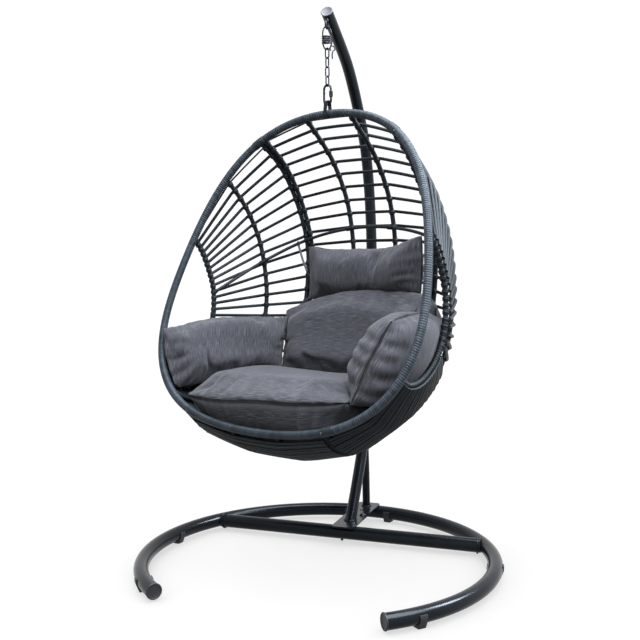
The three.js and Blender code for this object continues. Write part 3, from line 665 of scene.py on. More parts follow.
def add_plugs():
    """The caps in the ring's two open ends, and the plug in the mast's end."""
    caps = Surface()
    turn = math.radians(BASE_OPENING)
    for side in (-1, 1):
        start = ring_line(side * BASE_OPENING, side * BASE_OPENING, 1)[0]
        along = (-side * math.cos(turn), -math.sin(turn), 0)
        add_turned(caps, RING_CAP, start, along, 64)
    on_stand(caps, "ring_end_caps", ["end_cap_left", "end_cap_right"], "plastic", "black_plastic")
    plug = Surface()
    tip, below = (stand_points((0, *place)) for place in MAST_ROUTE[:2])
    add_turned(plug, MAST_PLUG, tip, unit(tip - below), 56)
    on_stand(plug, "mast_end_plug", ["mast_cap"], "plug", "black_plastic")


def add_stand_fittings():
    bolts = Surface()
    for x, y in BOLT_PLACES:
        add_turned(bolts, DOME_BOLT, stand_points((x, y, PLATE_TOP)), UP, 40)
    on_stand(bolts, "plate_bolts", ["plate_bolt_1", "plate_bolt_2"], "zinc", "zinc_steel")
    eye = Surface()
    turn = np.linspace(0, 2 * math.pi, 49)[:-1]
    ring = [(0, HANG_Y + EYE_RADIUS * math.sin(t), EYE_HEIGHT + EYE_RADIUS * math.cos(t))
            for t in turn]
    add_tube(eye, stand_points(ring), EYE_WIRE * MM, (1, 0, 0), 14, closed=True)
    neck = stand_points([(0, HANG_Y, EYE_HEIGHT + EYE_RADIUS + z) for z in (-1, 6, 13)])
    add_tube(eye, neck, EYE_NECK * MM, (1, 0, 0), 16)
    on_stand(eye, "mast_eye", ["hook_eye"])
    peg = Surface()
    add_turned(peg, PEG, stand_points((-12, CROSS_TUBE_Y - 4, 12)), -UP, 24)
    on_stand(peg, "cross_tube_peg", (), "plastic", "black_plastic")


# ---------------------------------------------------------------- hanger
def on_hang_line(across, behind, height, plan_degrees):
    turn = math.radians(plan_degrees)
    x = across * math.cos(turn) - behind * math.sin(turn)
    y = across * math.sin(turn) + behind * math.cos(turn)
    return HANG_AXIS + np.array([x, y, height]) * MM


def bent_wire(surface, route, wire, count=60):
    line = even_spline([on_hang_line(x, behind, z, SPRING_PLAN) for x, z, behind in route], count)
    turn = math.radians(SPRING_PLAN)
    flat = np.array([-math.sin(turn), math.cos(turn), 0.0])
    add_tube(surface, line, wire * MM, flat, 12)


LINK_BEND = 18  # points round each bend of a link


def link_line(node, width, wire, plan_degrees):
    """The centreline of a long link, between its own box's top and bottom."""
    low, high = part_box(node)
    radius = width / 2 - wire
    straight = (high.z - low.z) / MM / 2 - width / 2
    middle = (low.z + high.z) / 2 / MM
    points = []
    for start, rise in ((0, straight), (math.pi, -straight)):
        for turn in np.linspace(start, start + math.pi, LINK_BEND):
            points.append((radius * math.cos(turn), middle + rise + radius * math.sin(turn)))
    return np.array([on_hang_line(x, 0, z, plan_degrees) for x, z in points])


def on_hanger(surface, name, body, node, smooth=True):
    return surface.build(name, "zinc", body, "zinc_steel", [node], smooth)


def add_spring():
    bottom = SPRING_TOP - SPRING_TURNS * SPRING_PITCH
    apex = bottom - 19.5
    bar_top = EYE_HEIGHT - EYE_RADIUS + EYE_WIRE + SPRING_WIRE + 1.2
    shoulder, under = SPRING_TOP - 1, bottom + 1
    upper = Surface()
    bent_wire(upper, [(-16, shoulder, 0), (-15.5, shoulder + 10, 0), (-9.5, bar_top - 4.5, 0),
                      (0, bar_top, 0), (9.5, bar_top - 4.5, 0), (15.5, shoulder + 10, 0),
                      (16, shoulder, 0)], SPRING_WIRE)
    on_hanger(upper, "spring_draw_bar", "spring_top", "spring_upper_bar")

    coil = Surface()
    turn = np.linspace(0, 2 * math.pi * SPRING_TURNS, SPRING_TURNS * 40)
    drop = np.linspace(0, SPRING_TURNS * SPRING_PITCH, len(turn))
    round_about = np.stack([np.cos(turn), np.sin(turn)], axis=1) * SPRING_RADIUS
    helix = HANG_AXIS + np.column_stack([round_about, SPRING_TOP - drop]) * MM
    add_tube(coil, helix, SPRING_WIRE * MM, UP, 12)
    piece = on_hanger(coil, "hanger_spring", None, "spring_coil")
    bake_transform(piece)

    lower = Surface()
    bent_wire(lower, [(-16, under, 0), (-15, under - 4, 0), (-8, apex + 2, 0), (0, apex, 0),
                      (8, apex + 2, 0), (15, under - 4, 0), (16, under, 0)], SPRING_WIRE)
    on_hanger(lower, "spring_foot_bar", "spring_foot", "spring_lower_bar")
    hook = Surface()
    bent_wire(hook, [(10, apex - 6, -9), (8, apex + 3, -9), (13, apex + 11, -9), (22, apex + 8, -10),
                     (24, apex - 1, -11), (17, apex - 7, -12), (14, apex - 18, -12),
                     (15, apex - 34, -12)], HOOK_WIRE)
    on_hanger(hook, "hook_keeper", "spring_foot", "safety_hook")


def add_link(node, width, wire, plan_degrees, sides):
    """A closed long link in its node's place, and its centreline."""
    link = Surface()
    line = link_line(node, width, wire, plan_degrees)
    flat = unit(np.cross(line[0] - line[LINK_BEND], line[LINK_BEND // 2] - line[LINK_BEND * 3 // 2]))
    add_tube(link, line, wire * MM, flat, sides, closed=True)
    return link, line


def add_chain():
    for i in range(1, 5):
        node = f"chain_link_{i}"
        link, line = add_link(node, LINK_WIDTH, LINK_WIRE, BASKET_YAW + 90 * ((i - 1) % 2), 12)
        weld = line[LINK_BEND - 1:LINK_BEND + 1].mean(0)
        add_turned(link, [(0, -2.6), (2.3, -2.2), (2.7, 0), (2.3, 2.2), (0, 2.6)], weld, UP, 12)
        on_hanger(link, f"long_link_{i}", "chain", node)
    quick, _ = add_link("quick_link", QUICK_WIDTH, QUICK_WIRE, BASKET_YAW, 16)
    on_hanger(quick, "screw_link", "quick_link", "quick_link")

    low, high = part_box("quick_link_nut")
    start = np.array([(low.x + high.x) / 2, (low.y + high.y) / 2, low.z])
    length = (high.z - low.z) / MM
    sleeve = Surface()
    add_turned(sleeve, [(3.9, 0), (5.9, 0), (6.9, 1.4), (6.9, length - 1.4), (5.9, length),
                        (3.9, length), (3.9, 0)], start, UP, 6)
    on_hanger(sleeve, "screw_link_sleeve", "quick_link_nut", "quick_link_nut", smooth=False)


# ---------------------------------------------------------------- basket frame
def rib_line(station, from_down, to_down, sideways=0.0):
    count = max(int((to_down - from_down) * 500), 8)
    return skin.points(station, np.linspace(from_down, to_down, count), 0.0, sideways)


def rib_out(station, from_down, to_down):
    count = max(int((to_down - from_down) * 500), 8)
    return skin.outward_at(station, np.linspace(from_down, to_down, count))


FLAT_BAND = (0.0, 0.0, 0.15, 1.0, 0.4)
COLLAR_BAND = (0.0, 0.1, 1.0, 0.3)
COLLAR_REACH, COLLAR_TUBE = 2.3, 15.6


def on_basket(surface, name, nodes=(), material="strand", slot="wicker"):
    surface.build(name, material, "basket", slot, nodes)


def add_rim():
    sections = {
        "rim_top": (-RIM_JOINT, RIM_JOINT),
        "rim_right": (RIM_JOINT, 180 - RIM_JOINT),
        "rim_bottom": (180 - RIM_JOINT, 180 + RIM_JOINT),
        "rim_left": (180 + RIM_JOINT, 360 - RIM_JOINT),
    }
    for index, (node, (start, end)) in enumerate(sections.items()):
        wound = Surface()
        line = rim_points(np.linspace(start + 0.05, end - 0.05, 260))
        pitch, groove = 7.6, 1.5
        add_wound_tube(wound, line, 12 * MM, (RIM_TUBE - 0.1) * MM, BEHIND_RIM, pitch * MM,
                       groove * MM, 20, FLAT_BAND, 0.5 + 0.3 * hue(index))
        on_basket(wound, f"wound_{node}", [node], "wrap")


def add_collars():
    """The bindings over the rim's joints, each with the tail of its strand."""
    joints = {
        "collar_top_right": RIM_JOINT,
        "collar_top_left": -RIM_JOINT,
        "collar_bottom_right": 180 - RIM_JOINT,
        "collar_bottom_left": 180 + RIM_JOINT,
    }
    for node, degrees in joints.items():
        bound = Surface()
        line = rim_points(np.linspace(degrees - COLLAR_REACH, degrees + COLLAR_REACH, 30))
        add_wound_tube(bound, line, RIM_TUBE * MM, COLLAR_TUBE * MM, BEHIND_RIM, 5.0 * MM, 1.0 * MM,
                       20, COLLAR_BAND, 0.4, taper=4 * MM)
        tail = rim_points(degrees + 1.6) + BEHIND_RIM * -13 * MM
        tip = tail + DOWN_RIM * 9 * MM - BEHIND_RIM * 4 * MM + RIGHTWARD * 3 * MM
        add_tube(bound, np.linspace(tail, tip, 6), 1.6 * MM, BEHIND_RIM, 8, tint=0.9)
        on_basket(bound, f"bound_{node}", [node], "wrap")


def add_ribs():
    """The ribs: bare steel tubes above, wound from end to end where the weave is close."""
    places = {"a": (0, (0,)), "b": (1, (0,)), "c": (2, (-RIB_SPREAD, RIB_SPREAD)), "d": (3, (0,))}
    for word, mirror in (("left", False), ("right", True)):
        for name, (station, spreads) in places.items():
            at = LAST_RIB - station if mirror else station
            start, stop = (0.008, 0.992) if name == "a" else (0.003, 0.997)
            low = (0.45 if name == "a" else OPEN_TO, stop)
            pitch, groove = (9.6, 2.6) if name == "a" else (7.2, 1.7)
            bare, wound = Surface(), Surface()
            for spread in spreads:
                line = rib_line(at, start, stop, spread)
                add_tube(bare, line, RIB_TUBE * MM, rib_out(at, start, stop), 16)
                add_wound_tube(wound, rib_line(at, *low, spread), RIB_TUBE * MM,
                               (WOUND_RIB - 0.9) * MM, rib_out(at, *low), pitch * MM,
                               groove * MM, 12, tint=0.4, taper=10 * MM)
            parts = ("c_outer", "c_inner") if name == "c" else (name,)
            nodes = [f"rib_{part}_{word}" for part in parts]
            on_basket(bare, f"rib_tube_{name}_{word}", nodes, "rib", "rib_steel")
            on_basket(wound, f"rib_winding_{name}_{word}")


def brace_line():
    lift = RIB_TUBE + BRACE_TUBE + 1.5
    spots = [skin.points(i, down, 0.0 if i in (0, LAST_RIB) else -lift)
             for i, down in enumerate(BRACE_HEIGHTS)]
    return even_spline(spots, 160)


def add_brace():
    line = brace_line()
    brace = Surface()
    add_tube(brace, line, BRACE_TUBE * MM, UP, 20)
    on_basket(brace, "inner_brace", ["brace"], "rib", "black_steel")
    ties = Surface()
    for i, down in enumerate(BRACE_HEIGHTS):
        near = np.argmin(np.linalg.norm(line - skin.points(i, down, -8), axis=1))
        part = line[max(near - 2, 0):near + 3]
        add_wound_tube(ties, even_spline(part, 12), BRACE_TUBE * MM, 8.6 * MM, UP, 5 * MM, 1.2 * MM,
                       12, tint=0.35, taper=3 * MM)
    on_basket(ties, "brace_ties")


# ---------------------------------------------------------------- weave
POINTS_PER_SPAN = 14
WINDING_REACH = [0.0125, 0.0072, 0.0058, 0.0052]  # shares of the rib's length, ribs a to d
WINDING_PITCH, WINDING_GROOVE = 7, 1.9
FIRST_STRAND = 0.55  # the strand by the rim is a thin one
CLOSE_STRAND, CLOSE_WIDE = STRAND * 0.78, 1.12
CLOSE_FROM = OPEN_TO + 0.012
ROW_LIFT = 1.2  # mm that the close rows rise and fall
OPEN_JITTER, CLOSE_JITTER = 0.0016, 0.0007  # shares of the rib's length


def strand_line(stations, down, offset, sideways, index):
    """A strand pulled straight from rib to rib, with its bends eased over the ribs."""
    knots = skin.points(stations, down, offset, sideways)
    shares = np.arange((len(knots) - 1) * POINTS_PER_SPAN + 1) / POINTS_PER_SPAN
    line = at_distances(knots, np.arange(len(knots)), shares)
    sag = np.sin(shares * math.pi) ** 2 * (0.8 + hue(index, 1.6)) * MM
    out = skin.outward_at(np.interp(shares, np.arange(len(knots)), stations), down)
    line = line + out * sag[:, None]
    for _ in range(2):
        line[1:-1] = 0.25 * line[:-2] + 0.5 * line[1:-1] + 0.25 * line[2:]
    return line


def wind_round(surface, station, down, sideways, index):
    """A strand's turns round a rib where it crosses."""
    half = WINDING_REACH[min(station, LAST_RIB - station)]
    span = (down - half, down + half)
    line, out = rib_line(station, *span, sideways), rib_out(station, *span)
    add_wound_tube(surface, line, (RIB_TUBE + 0.1) * MM, WOUND_RIB * MM, out,
                   WINDING_PITCH * MM, WINDING_GROOVE * MM, 10, tint=0.25 + 0.5 * hue(index),
                   taper=5 * MM)


def outward_along(line, stations, down):
    """The skin's outward direction at the middle of a strand, once for each of its points."""
    return skin.outward_at(np.full(len(line), np.mean(stations)), down)


def weave_open(name, stations, sideways, places, nodes):
    """Open weave: single strands, each with its turns round every rib it crosses."""
    surface = Surface()
    for i, place in enumerate(places):
        down = place + OPEN_JITTER * (hue(i * 3.7) - 0.5)
        thick = (FIRST_STRAND if i == 0 else 1.0) * STRAND * MM
        line = strand_line(stations, down, STRAND_OFFSET, sideways, i + len(name))
        add_tube(surface, line, thick, outward_along(line, stations, down), 10,
                 tint=0.2 + 0.7 * hue(i * 7.1))
        for j, station in enumerate(stations):
            wind_round(surface, station, down, sideways[j], i * 13 + j)
    on_basket(surface, name, nodes)


def weave_close(name, stations, sideways, rows, nodes, squeeze=(1, 1, 1, 1)):
    """Close weave: rows of strand laid side by side, squeezed thinner where ribs run together."""
    surface = Surface()
    for i in range(rows):
        down = CLOSE_FROM + (CLOSE_TO - CLOSE_FROM) * i / (rows - 1)
        down += CLOSE_JITTER * (hue(i * 5.3) - 0.5)
        lift = STRAND_OFFSET + ROW_LIFT * math.sin(i * 2.4)
        line = strand_line(stations, down, lift, sideways, i * 2 + 1)
        size = np.interp(np.linspace(0, len(stations) - 1, len(line)), np.arange(len(stations)),
                         squeeze[:len(stations)])
        add_tube(surface, line, CLOSE_STRAND * MM * size, outward_along(line, stations, down), 8,
                 tint=0.15 + 0.7 * hue(i * 3.1), wide=CLOSE_WIDE)
    on_basket(surface, name, nodes)


def add_weave():
    inner = [RIB_SPREAD, 0, 0, -RIB_SPREAD]
    weave_open("open_weave_back", [2, 3, 4, 5], inner, BACK_STRANDS, ["weave_back"])
    weave_close("close_weave_seat", [2, 3, 4, 5], inner, BACK_ROWS, ["weave_seat"])
    wings = (("left", [0, 1, 2], -RIB_SPREAD), ("right", [7, 6, 5], RIB_SPREAD))
    for word, stations, spread in wings:
        weave_open(f"open_weave_wing_{word}", stations, [0, 0, spread], WING_STRANDS,
                   [f"weave_wing_{word}"])
        weave_close(f"close_weave_side_{word}", stations, [0, 0, spread], SIDE_ROWS,
                    [f"weave_side_{word}"], squeeze=(0.7, 0.95, 1))


# ---------------------------------------------------------------- cushions
SEAM_WIDTH = 3.6
CROWDING = 0.93  # how much the cells crowd towards the seam, where the form turns fastest
ROUNDNESS = 0.52  # the power that rounds the crown: lower is fuller at the seam
FOLD_EASE = 9  # mm from the seam over which gathers and folds begin
GATHER_EDGE = 24  # mm from an edge over which its own gathers prevail
GATHER_REACH, GATHER_SPREAD, GATHER_LEAST = 26, 24, 10
RIPPLE_LENGTH, REACH_RIPPLE_LENGTH = 23.0, 70
BOWL_CLEAR, RIM_CLEAR, CUSHION_CLEAR = 0.0125, 0.0165, 0.0016
BOWL_REACH, CUSHION_REACH = 0.16, 0.12
INSIDE_SHARE = 0.8  # how squarely a point must lie behind a surface to count as inside it
RELAX = 0.25
CLOTH_FRAMES = 20
SWELL_CAP, SEAM_SWELL_CAP = 0.024, 0.008
SEAM_CALM = 40  # mm from the seam over which the swelling grows free
SEAM_GROOVE = 0.004
SHEET_COLUMNS, SHEET_ROWS = 80, 60


def tree_of(points):
    """A search tree of points, for the one nearest to a place."""
    tree = KDTree(len(points))
    for i, spot in enumerate(points):
        tree.insert(spot, i)
    tree.balance()
    return tree


class Pillow:
    """A knife-edged pillow on a curved middle sheet: s runs along it and t up it, -1 to 1."""

    def __init__(self, name, node, middle, length, height, front, back, streaks, pull=0.05,
                 plump=(3, 3), folds=(), gather=3.2, cell=7.5):
        self.name, self.node, self.middle = name, node, middle
        self.length, self.height = length, height
        self.front, self.back, self.plump = front, back, plump
        self.pull, self.folds, self.gather = pull, folds, gather
        self.streaks = streaks
        self.columns = max(int(length / cell) // 2 * 2, 8)
        self.rows = max(int(height / cell) // 2 * 2, 8)

    def make(self):
        c, r = self.columns, self.rows
        quarter = math.pi / 2 * CROWDING
        s, t = (np.sin(np.linspace(-1, 1, n + 1) * quarter) / math.sin(quarter) for n in (c, r))
        t, s = np.meshgrid(t, s, indexing="ij")
        faces, index_back = self.join_panels(c, r)
        front, front_depth = self.panel(s, t, 1)
        back, back_depth = self.panel(s, t, -1)
        inside = index_back >= (r + 1) * (c + 1)
        points = np.vstack([front.reshape(-1, 3), back[inside]])
        depth = np.concatenate([front_depth.ravel(), back_depth[inside]])
        flat = np.stack([s * self.length / 2, t * self.height / 2], axis=-1)
        uv = np.vstack([flat.reshape(-1, 2), flat[inside] + [0, self.height * 1.3]]) * MM
        return self.to_object(points, faces, uv, np.exp(-(depth / SEAM_WIDTH) ** 2)), depth

    def join_panels(self, c, r):
        """Quads of both panels, which share their edge, and the back panel's vertex numbers."""
        front = np.arange((r + 1) * (c + 1)).reshape(r + 1, c + 1)
        back = front.copy()
        back[1:-1, 1:-1] = (r + 1) * (c + 1) + np.arange((r - 1) * (c - 1)).reshape(r - 1, c - 1)
        faces = []
        for grid, flip in ((front, 1), (back, -1)):
            quads = np.stack([grid[:-1, :-1], grid[:-1, 1:], grid[1:, 1:], grid[1:, :-1]], axis=-1)
            faces.append(quads.reshape(-1, 4)[:, ::flip])
        return np.vstack(faces), back

    def panel(self, s, t, side):
        """One panel's points and how far each is from the seam, in the upright frame's mm."""
        wave_s = 1 - self.pull * (1 - t**2) * np.abs(s) ** 3
        wave_t = 1 - self.pull * 1.4 * (1 - s**2) * np.abs(t) ** 3
        su, tu = s * wave_s, t * wave_t
        middle = self.middle(su, tu)
        step = 0.01
        along = self.middle(su + step, tu) - self.middle(su - step, tu)
        up = self.middle(su, tu + step) - self.middle(su, tu - step)
        normal = unit(np.cross(along, up))
        fall_s, fall_t = (np.maximum(1 - np.abs(x) ** p, 0) for x, p in zip((s, t), self.plump))
        crown = (fall_s * fall_t) ** ROUNDNESS
        thick = (self.front if side > 0 else self.back) * crown
        points = middle + side * thick[..., None] * normal
        outward = side * unit(np.cross(np.gradient(points, axis=1), np.gradient(points, axis=0)))
        tree = tree_of(np.concatenate([points[0], points[-1], points[:, 0], points[:, -1]]))
        flat = points.reshape(-1, 3)
        from_seam = np.array([tree.find(point)[2] for point in flat]).reshape(s.shape)
        made = self.gathers(s, t, side, from_seam) + self.creases(s, t)
        made *= np.minimum(from_seam / FOLD_EASE, 1)
        return points + made[..., None] * outward, from_seam

    def gathers(self, s, t, side, from_seam):
        """Puckers that start at the seam and fade into the panel."""
        x, y = s * self.length / 2, t * self.height / 2
        share_t = np.exp((np.abs(t) - 1) * self.height / GATHER_EDGE)
        share_s = np.exp((np.abs(s) - 1) * self.length / GATHER_EDGE)
        made = np.zeros_like(s)
        # The phases give each edge and each panel its own stretch of noise.
        for at, share, phase in ((x, share_t, np.sign(t) * 31), (y, share_s, np.sign(s) * 57)):
            spread = self.ripple(at, phase + 90 + side * 5, REACH_RIPPLE_LENGTH)
            reach = np.maximum(GATHER_REACH + GATHER_SPREAD * spread, GATHER_LEAST)
            made += share * self.ripple(at, phase + side * 11) * np.exp(-from_seam / reach)
        return self.gather * made / (share_s + share_t)

    def ripple(self, at, phase, length=RIPPLE_LENGTH):
        """Smooth noise along an edge, its own for each pillow and phase."""
        flat = [noise.noise((a / length, p * 0.37, len(self.name) * 1.7))
                for a, p in zip(at.ravel(), np.broadcast_to(phase, at.shape).ravel())]
        return np.array(flat).reshape(at.shape) * 2

    def creases(self, s, t):
        """Long soft folds: each runs between two places, with its width and depth."""
        x, y = s * self.length / 2, t * self.height / 2
        made = np.zeros_like(s)
        for s0, t0, s1, t1, width, depth in self.folds:
            a = np.array([s0 * self.length / 2, t0 * self.height / 2])
            b = np.array([s1 * self.length / 2, t1 * self.height / 2])
            run = b - a
            share = np.clip(((x - a[0]) * run[0] + (y - a[1]) * run[1]) / (run @ run), 0, 1)
            away = np.hypot(x - a[0] - share * run[0], y - a[1] - share * run[1])
            fade = np.sin(np.clip(share, 0.02, 0.98) * math.pi) ** 0.5
            valley, banks = (np.exp(-(away / width / wide) ** 2) for wide in (1, 2.4))
            made -= depth * fade * (valley - 0.45 * banks)
        return made

    def to_object(self, points, faces, uv, seam):
        mesh = new_mesh(self.name, upright_points(points), faces.tolist(), "seam", seam, "cloth", uv)
        mesh.shade_smooth()
        return link_new(self.name, mesh)


def coordinates_of(obj):
    flat = np.empty(len(obj.data.vertices) * 3)
    obj.data.vertices.foreach_get("co", flat)
    return flat.reshape(-1, 3)


def set_coordinates(obj, points):
    obj.data.vertices.foreach_set("co", np.asarray(points, np.float32).ravel())
    obj.data.update()


CLOTH = {
    "use_pressure": True,
    "uniform_pressure_force": 4.0,
    "mass": 0.25,
    "quality": 6,
    "tension_stiffness": 22,
    "compression_stiffness": 12,
    "shear_stiffness": 6,
    "bending_stiffness": 0.4,
    "shrink_min": -0.045,
    "shrink_max": 0.05,
    "vertex_group_shrink": "tight",
}


def settle_cloth(obj, from_seam):
    """Lets the cover swell and pucker under the stuffing's pressure, least near its seam."""
    seam = obj.vertex_groups.new(name="tight")
    values = np.empty(len(obj.data.vertices), np.float32)
    obj.data.attributes["seam"].data.foreach_get("value", values)
    for i, value in enumerate(values):
        if value > 0.02:
            seam.add([i], float(value), "REPLACE")
    start = coordinates_of(obj)
    cloth = obj.modifiers.new("cloth", "CLOTH")
    for setting, value in CLOTH.items():
        setattr(cloth.settings, setting, value)
    cloth.settings.effector_weights.gravity = 0.0
    cloth.point_cache.frame_start, cloth.point_cache.frame_end = 1, CLOTH_FRAMES
    scene = bpy.context.scene
    for step in range(1, CLOTH_FRAMES + 1):
        scene.frame_set(step)
    graph = bpy.context.evaluated_depsgraph_get()
    moved = np.array([v.co for v in obj.evaluated_get(graph).data.vertices])
    obj.modifiers.remove(cloth)
    scene.frame_set(1)
    shift = moved - start
    shift -= shift.mean(axis=0)
    far = np.linalg.norm(shift, axis=1, keepdims=True)
    calm = np.exp(-(from_seam / SEAM_CALM) ** 2)[:, None]
    limit = SWELL_CAP - (SWELL_CAP - SEAM_SWELL_CAP) * calm
    set_coordinates(obj, start + shift * np.minimum(1, limit / np.maximum(far, 1e-9)))
    obj.vertex_groups.clear()


def keep_inside_bowl(obj):
    """Presses the cushion flat where it would pass through the basket's ribs and weave."""
    downs = np.linspace(0.02, CLOSE_TO, 161)
    stations, downs = np.meshgrid(np.linspace(0, LAST_RIB, 141), downs)
    spots = skin.points(stations, downs).reshape(-1, 3)
    normals = skin.outward_at(stations, downs).reshape(-1, 3)
    tree = tree_of(spots)
    points = coordinates_of(obj)
    for i, point in enumerate(points):
        _, near, away = tree.find(point)
        over = (point - spots[near]) @ normals[near] + BOWL_CLEAR
        if over > 0 and away < BOWL_REACH:
            points[i] -= normals[near] * over
    set_coordinates(obj, points)


def keep_off_rim(obj):
    """Presses the cushion in where it would touch the rim's tube."""
    tree = tree_of(rim_points(np.linspace(0, 360, 721)))
    points = coordinates_of(obj)
    middle = points.mean(axis=0)
    for i, point in enumerate(points):
        spot, _, away = tree.find(point)
        if away < RIM_CLEAR:
            inward = unit(middle - np.array(spot))
            points[i] += inward * (RIM_CLEAR - away)
    set_coordinates(obj, points)


def keep_off(obj, others):
    """Presses the cushion in where it would pass into others that lie there already."""
    points = coordinates_of(obj)
    for other in others:
        graph = bpy.context.evaluated_depsgraph_get()
        tree = BVHTree.FromObject(other, graph)
        for i, point in enumerate(points):
            spot, normal, _, away = tree.find_nearest(Vector(point), CUSHION_REACH)
            if spot is None:
                continue
            depth = (Vector(point) - spot).dot(normal)
            if away < CUSHION_CLEAR or depth < -INSIDE_SHARE * away:
                points[i] = spot + normal * CUSHION_CLEAR
    set_coordinates(obj, points)


def relax(obj):
    """Eases the points towards their neighbours' middle, which rounds pressed edges."""
    pairs = np.empty(len(obj.data.edges) * 2, np.int32)
    obj.data.edges.foreach_get("vertices", pairs)
    a, b = pairs.reshape(-1, 2).T
    points = coordinates_of(obj)
    count = np.bincount(pairs, minlength=len(points))[:, None]
    total = np.zeros_like(points)
    np.add.at(total, a, points[b])
    np.add.at(total, b, points[a])
    set_coordinates(obj, points + RELAX * (total / count - points))


def refine(obj):
    """One subdivision, then a narrow groove along the seam."""
    obj.modifiers.new("smooth", "SUBSURF").levels = 1
    graph = bpy.context.evaluated_depsgraph_get()
    mesh = bpy.data.meshes.new_from_object(obj.evaluated_get(graph), preserve_all_data_layers=True,
                                           depsgraph=graph)
    obj.modifiers.clear()
    obj.data = mesh
    seam = np.empty(len(mesh.vertices), np.float32)
    mesh.attributes["seam"].data.foreach_get("value", seam)
    seam = np.clip(seam / (0.85 * seam.max()), 0, 1)
    mesh.attributes["seam"].data.foreach_set("value", seam)
    normals = np.array([v.normal for v in mesh.vertices])
    depth = SEAM_GROOVE * np.clip((seam - 0.35) / 0.5, 0, 1)[:, None]
    set_coordinates(obj, coordinates_of(obj) - normals * depth)
    mesh.shade_smooth()


def sheet_through(corners):
    """A middle sheet from rows of knots: each row runs along s, and the rows follow each other up t."""
    rows = [even_spline(row, SHEET_COLUMNS + 1) for row in corners]
    shares = np.linspace(0, 1, SHEET_ROWS + 1)
    grid = np.stack([spline(column, shares) for column in np.stack(rows, axis=1)])

    def middle(s, t):
        c = np.clip((s + 1) / 2, -0.05, 1.05) * SHEET_COLUMNS
        r = np.clip((t + 1) / 2, -0.05, 1.05) * SHEET_ROWS
        c0 = np.clip(c.astype(int), 0, SHEET_COLUMNS - 1)
        r0 = np.clip(r.astype(int), 0, SHEET_ROWS - 1)
        fc, fr = (c - c0)[..., None], (r - r0)[..., None]
        low = (1 - fr) * grid[c0, r0] + fr * grid[c0, r0 + 1]
        high = (1 - fr) * grid[c0 + 1, r0] + fr * grid[c0 + 1, r0 + 1]
        return (1 - fc) * low + fc * high

    return middle


SEAT_SHEET = sheet_through([
    [(-366, -352, -974), (-200, -400, -968), (0, -410, -950), (160, -404, -944), (338, -352, -934)],
    [(-404, -180, -958), (-190, -180, -980), (0, -180, -980), (175, -180, -978), (360, -170, -960)],
    [(-345, 30, -950), (-165, 92, -975), (0, 108, -982), (165, 92, -975), (325, 25, -950)],
])
BACK_SHEET = sheet_through([
    [(-285, 45, -930), (-100, 76, -955), (80, 82, -955), (240, 50, -945), (355, -18, -935)],
    [(-306, 86, -810), (-110, 136, -800), (90, 144, -800), (275, 100, -795), (418, 0, -790)],
    [(-300, 104, -690), (-125, 146, -622), (30, 158, -596), (185, 146, -596), (345, 84, -612),
     (440, 8, -655)],
])
ARM_RIGHT_SHEET = sheet_through([
    [(334, -336, -944), (362, -200, -955), (345, -70, -950), (280, 15, -935)],
    [(392, -326, -808), (424, -185, -812), (412, -65, -812), (335, 35, -812)],
    [(438, -255, -678), (454, -150, -654), (428, -50, -654), (340, 50, -680)],
])
ARM_LEFT_SHEET = sheet_through([
    [(-244, 34, -935), (-330, -55, -955), (-398, -200, -965), (-452, -352, -962)],
    [(-258, 72, -830), (-368, -28, -835), (-452, -165, -840), (-510, -342, -852)],
    [(-258, 88, -712), (-370, -6, -700), (-466, -138, -704), (-524, -322, -742)],
])
HEAD_SHEET = sheet_through([
    [(-238, 160, -662), (-90, 196, -652), (90, 198, -648), (312, 118, -628)],
    [(-240, 156, -552), (-90, 194, -548), (90, 196, -544), (330, 112, -534)],
    [(-228, 150, -452), (-90, 188, -456), (90, 188, -450), (322, 108, -422)],
])

PILLOWS = [
    Pillow("seat_cushion", "cushion_seat", SEAT_SHEET, 700, 470, 66, 118, "cloth_across",
           pull=0.04, plump=(4.5, 4.5), gather=5.0,
           folds=[(-0.76, -1, -0.6, -0.3, 16, 13), (-0.42, -1, -0.4, -0.7, 13, 9),
                  (-0.06, -1, -0.06, -0.6, 15, 6), (0.5, -1, 0.46, -0.8, 12, 6),
                  (0.68, -1, 0.6, -0.7, 12, 9), (0.82, -1, 0.7, -0.6, 14, 11),
                  (-0.94, -0.95, -0.6, -0.8, 14, 10)]),
    Pillow("back_cushion", "cushion_back", BACK_SHEET, 690, 350, 64, 60, "cloth_across",
           pull=0.03, plump=(3.2, 3.2), gather=3.6,
           folds=[(-1, -0.05, -0.76, -0.02, 11, 10), (-0.92, 0.9, -0.7, 0.6, 14, 6),
                  (0.6, 1, 0.7, 0.7, 14, 6)]),
    Pillow("arm_cushion_left", "cushion_arm_left", ARM_LEFT_SHEET, 520, 258, 60, 70,
           "cloth_upright", pull=0.035, plump=(5, 3.4), gather=5.0,
           folds=[(0.98, -0.6, 0.62, -0.4, 12, 14), (1, -0.1, 0.7, -0.14, 11, 12),
                  (0.98, 0.5, 0.72, 0.3, 12, 11), (0.84, -1, 0.6, -0.6, 12, 12)]),
    Pillow("arm_cushion_right", "cushion_arm_right", ARM_RIGHT_SHEET, 470, 285, 62, 104,
           "cloth_upright", pull=0.035, plump=(5.5, 3.6), gather=5.6,
           folds=[(-1, 0.5, -0.66, 0.36, 12, 15), (-1, 0.16, -0.72, 0.12, 10, 13),
                  (-1, -0.22, -0.66, -0.16, 12, 16), (-1, -0.6, -0.62, -0.5, 12, 16),
                  (-0.95, -0.92, -0.55, -0.8, 12, 12)]),
    Pillow("head_pillow", "cushion_head", HEAD_SHEET, 580, 205, 52, 44, "cloth_upright",
           pull=0.045, plump=(4, 2.8), gather=3.6,
           folds=[(1, 0.5, 0.72, 0.34, 10, 8), (1, 0.12, 0.6, 0.08, 10, 9),
                  (1, -0.22, 0.64, -0.24, 10, 9), (1, -0.6, 0.76, -0.54, 10, 7),
                  (-1, -0.7, -0.78, -0.42, 11, 6)]),
]


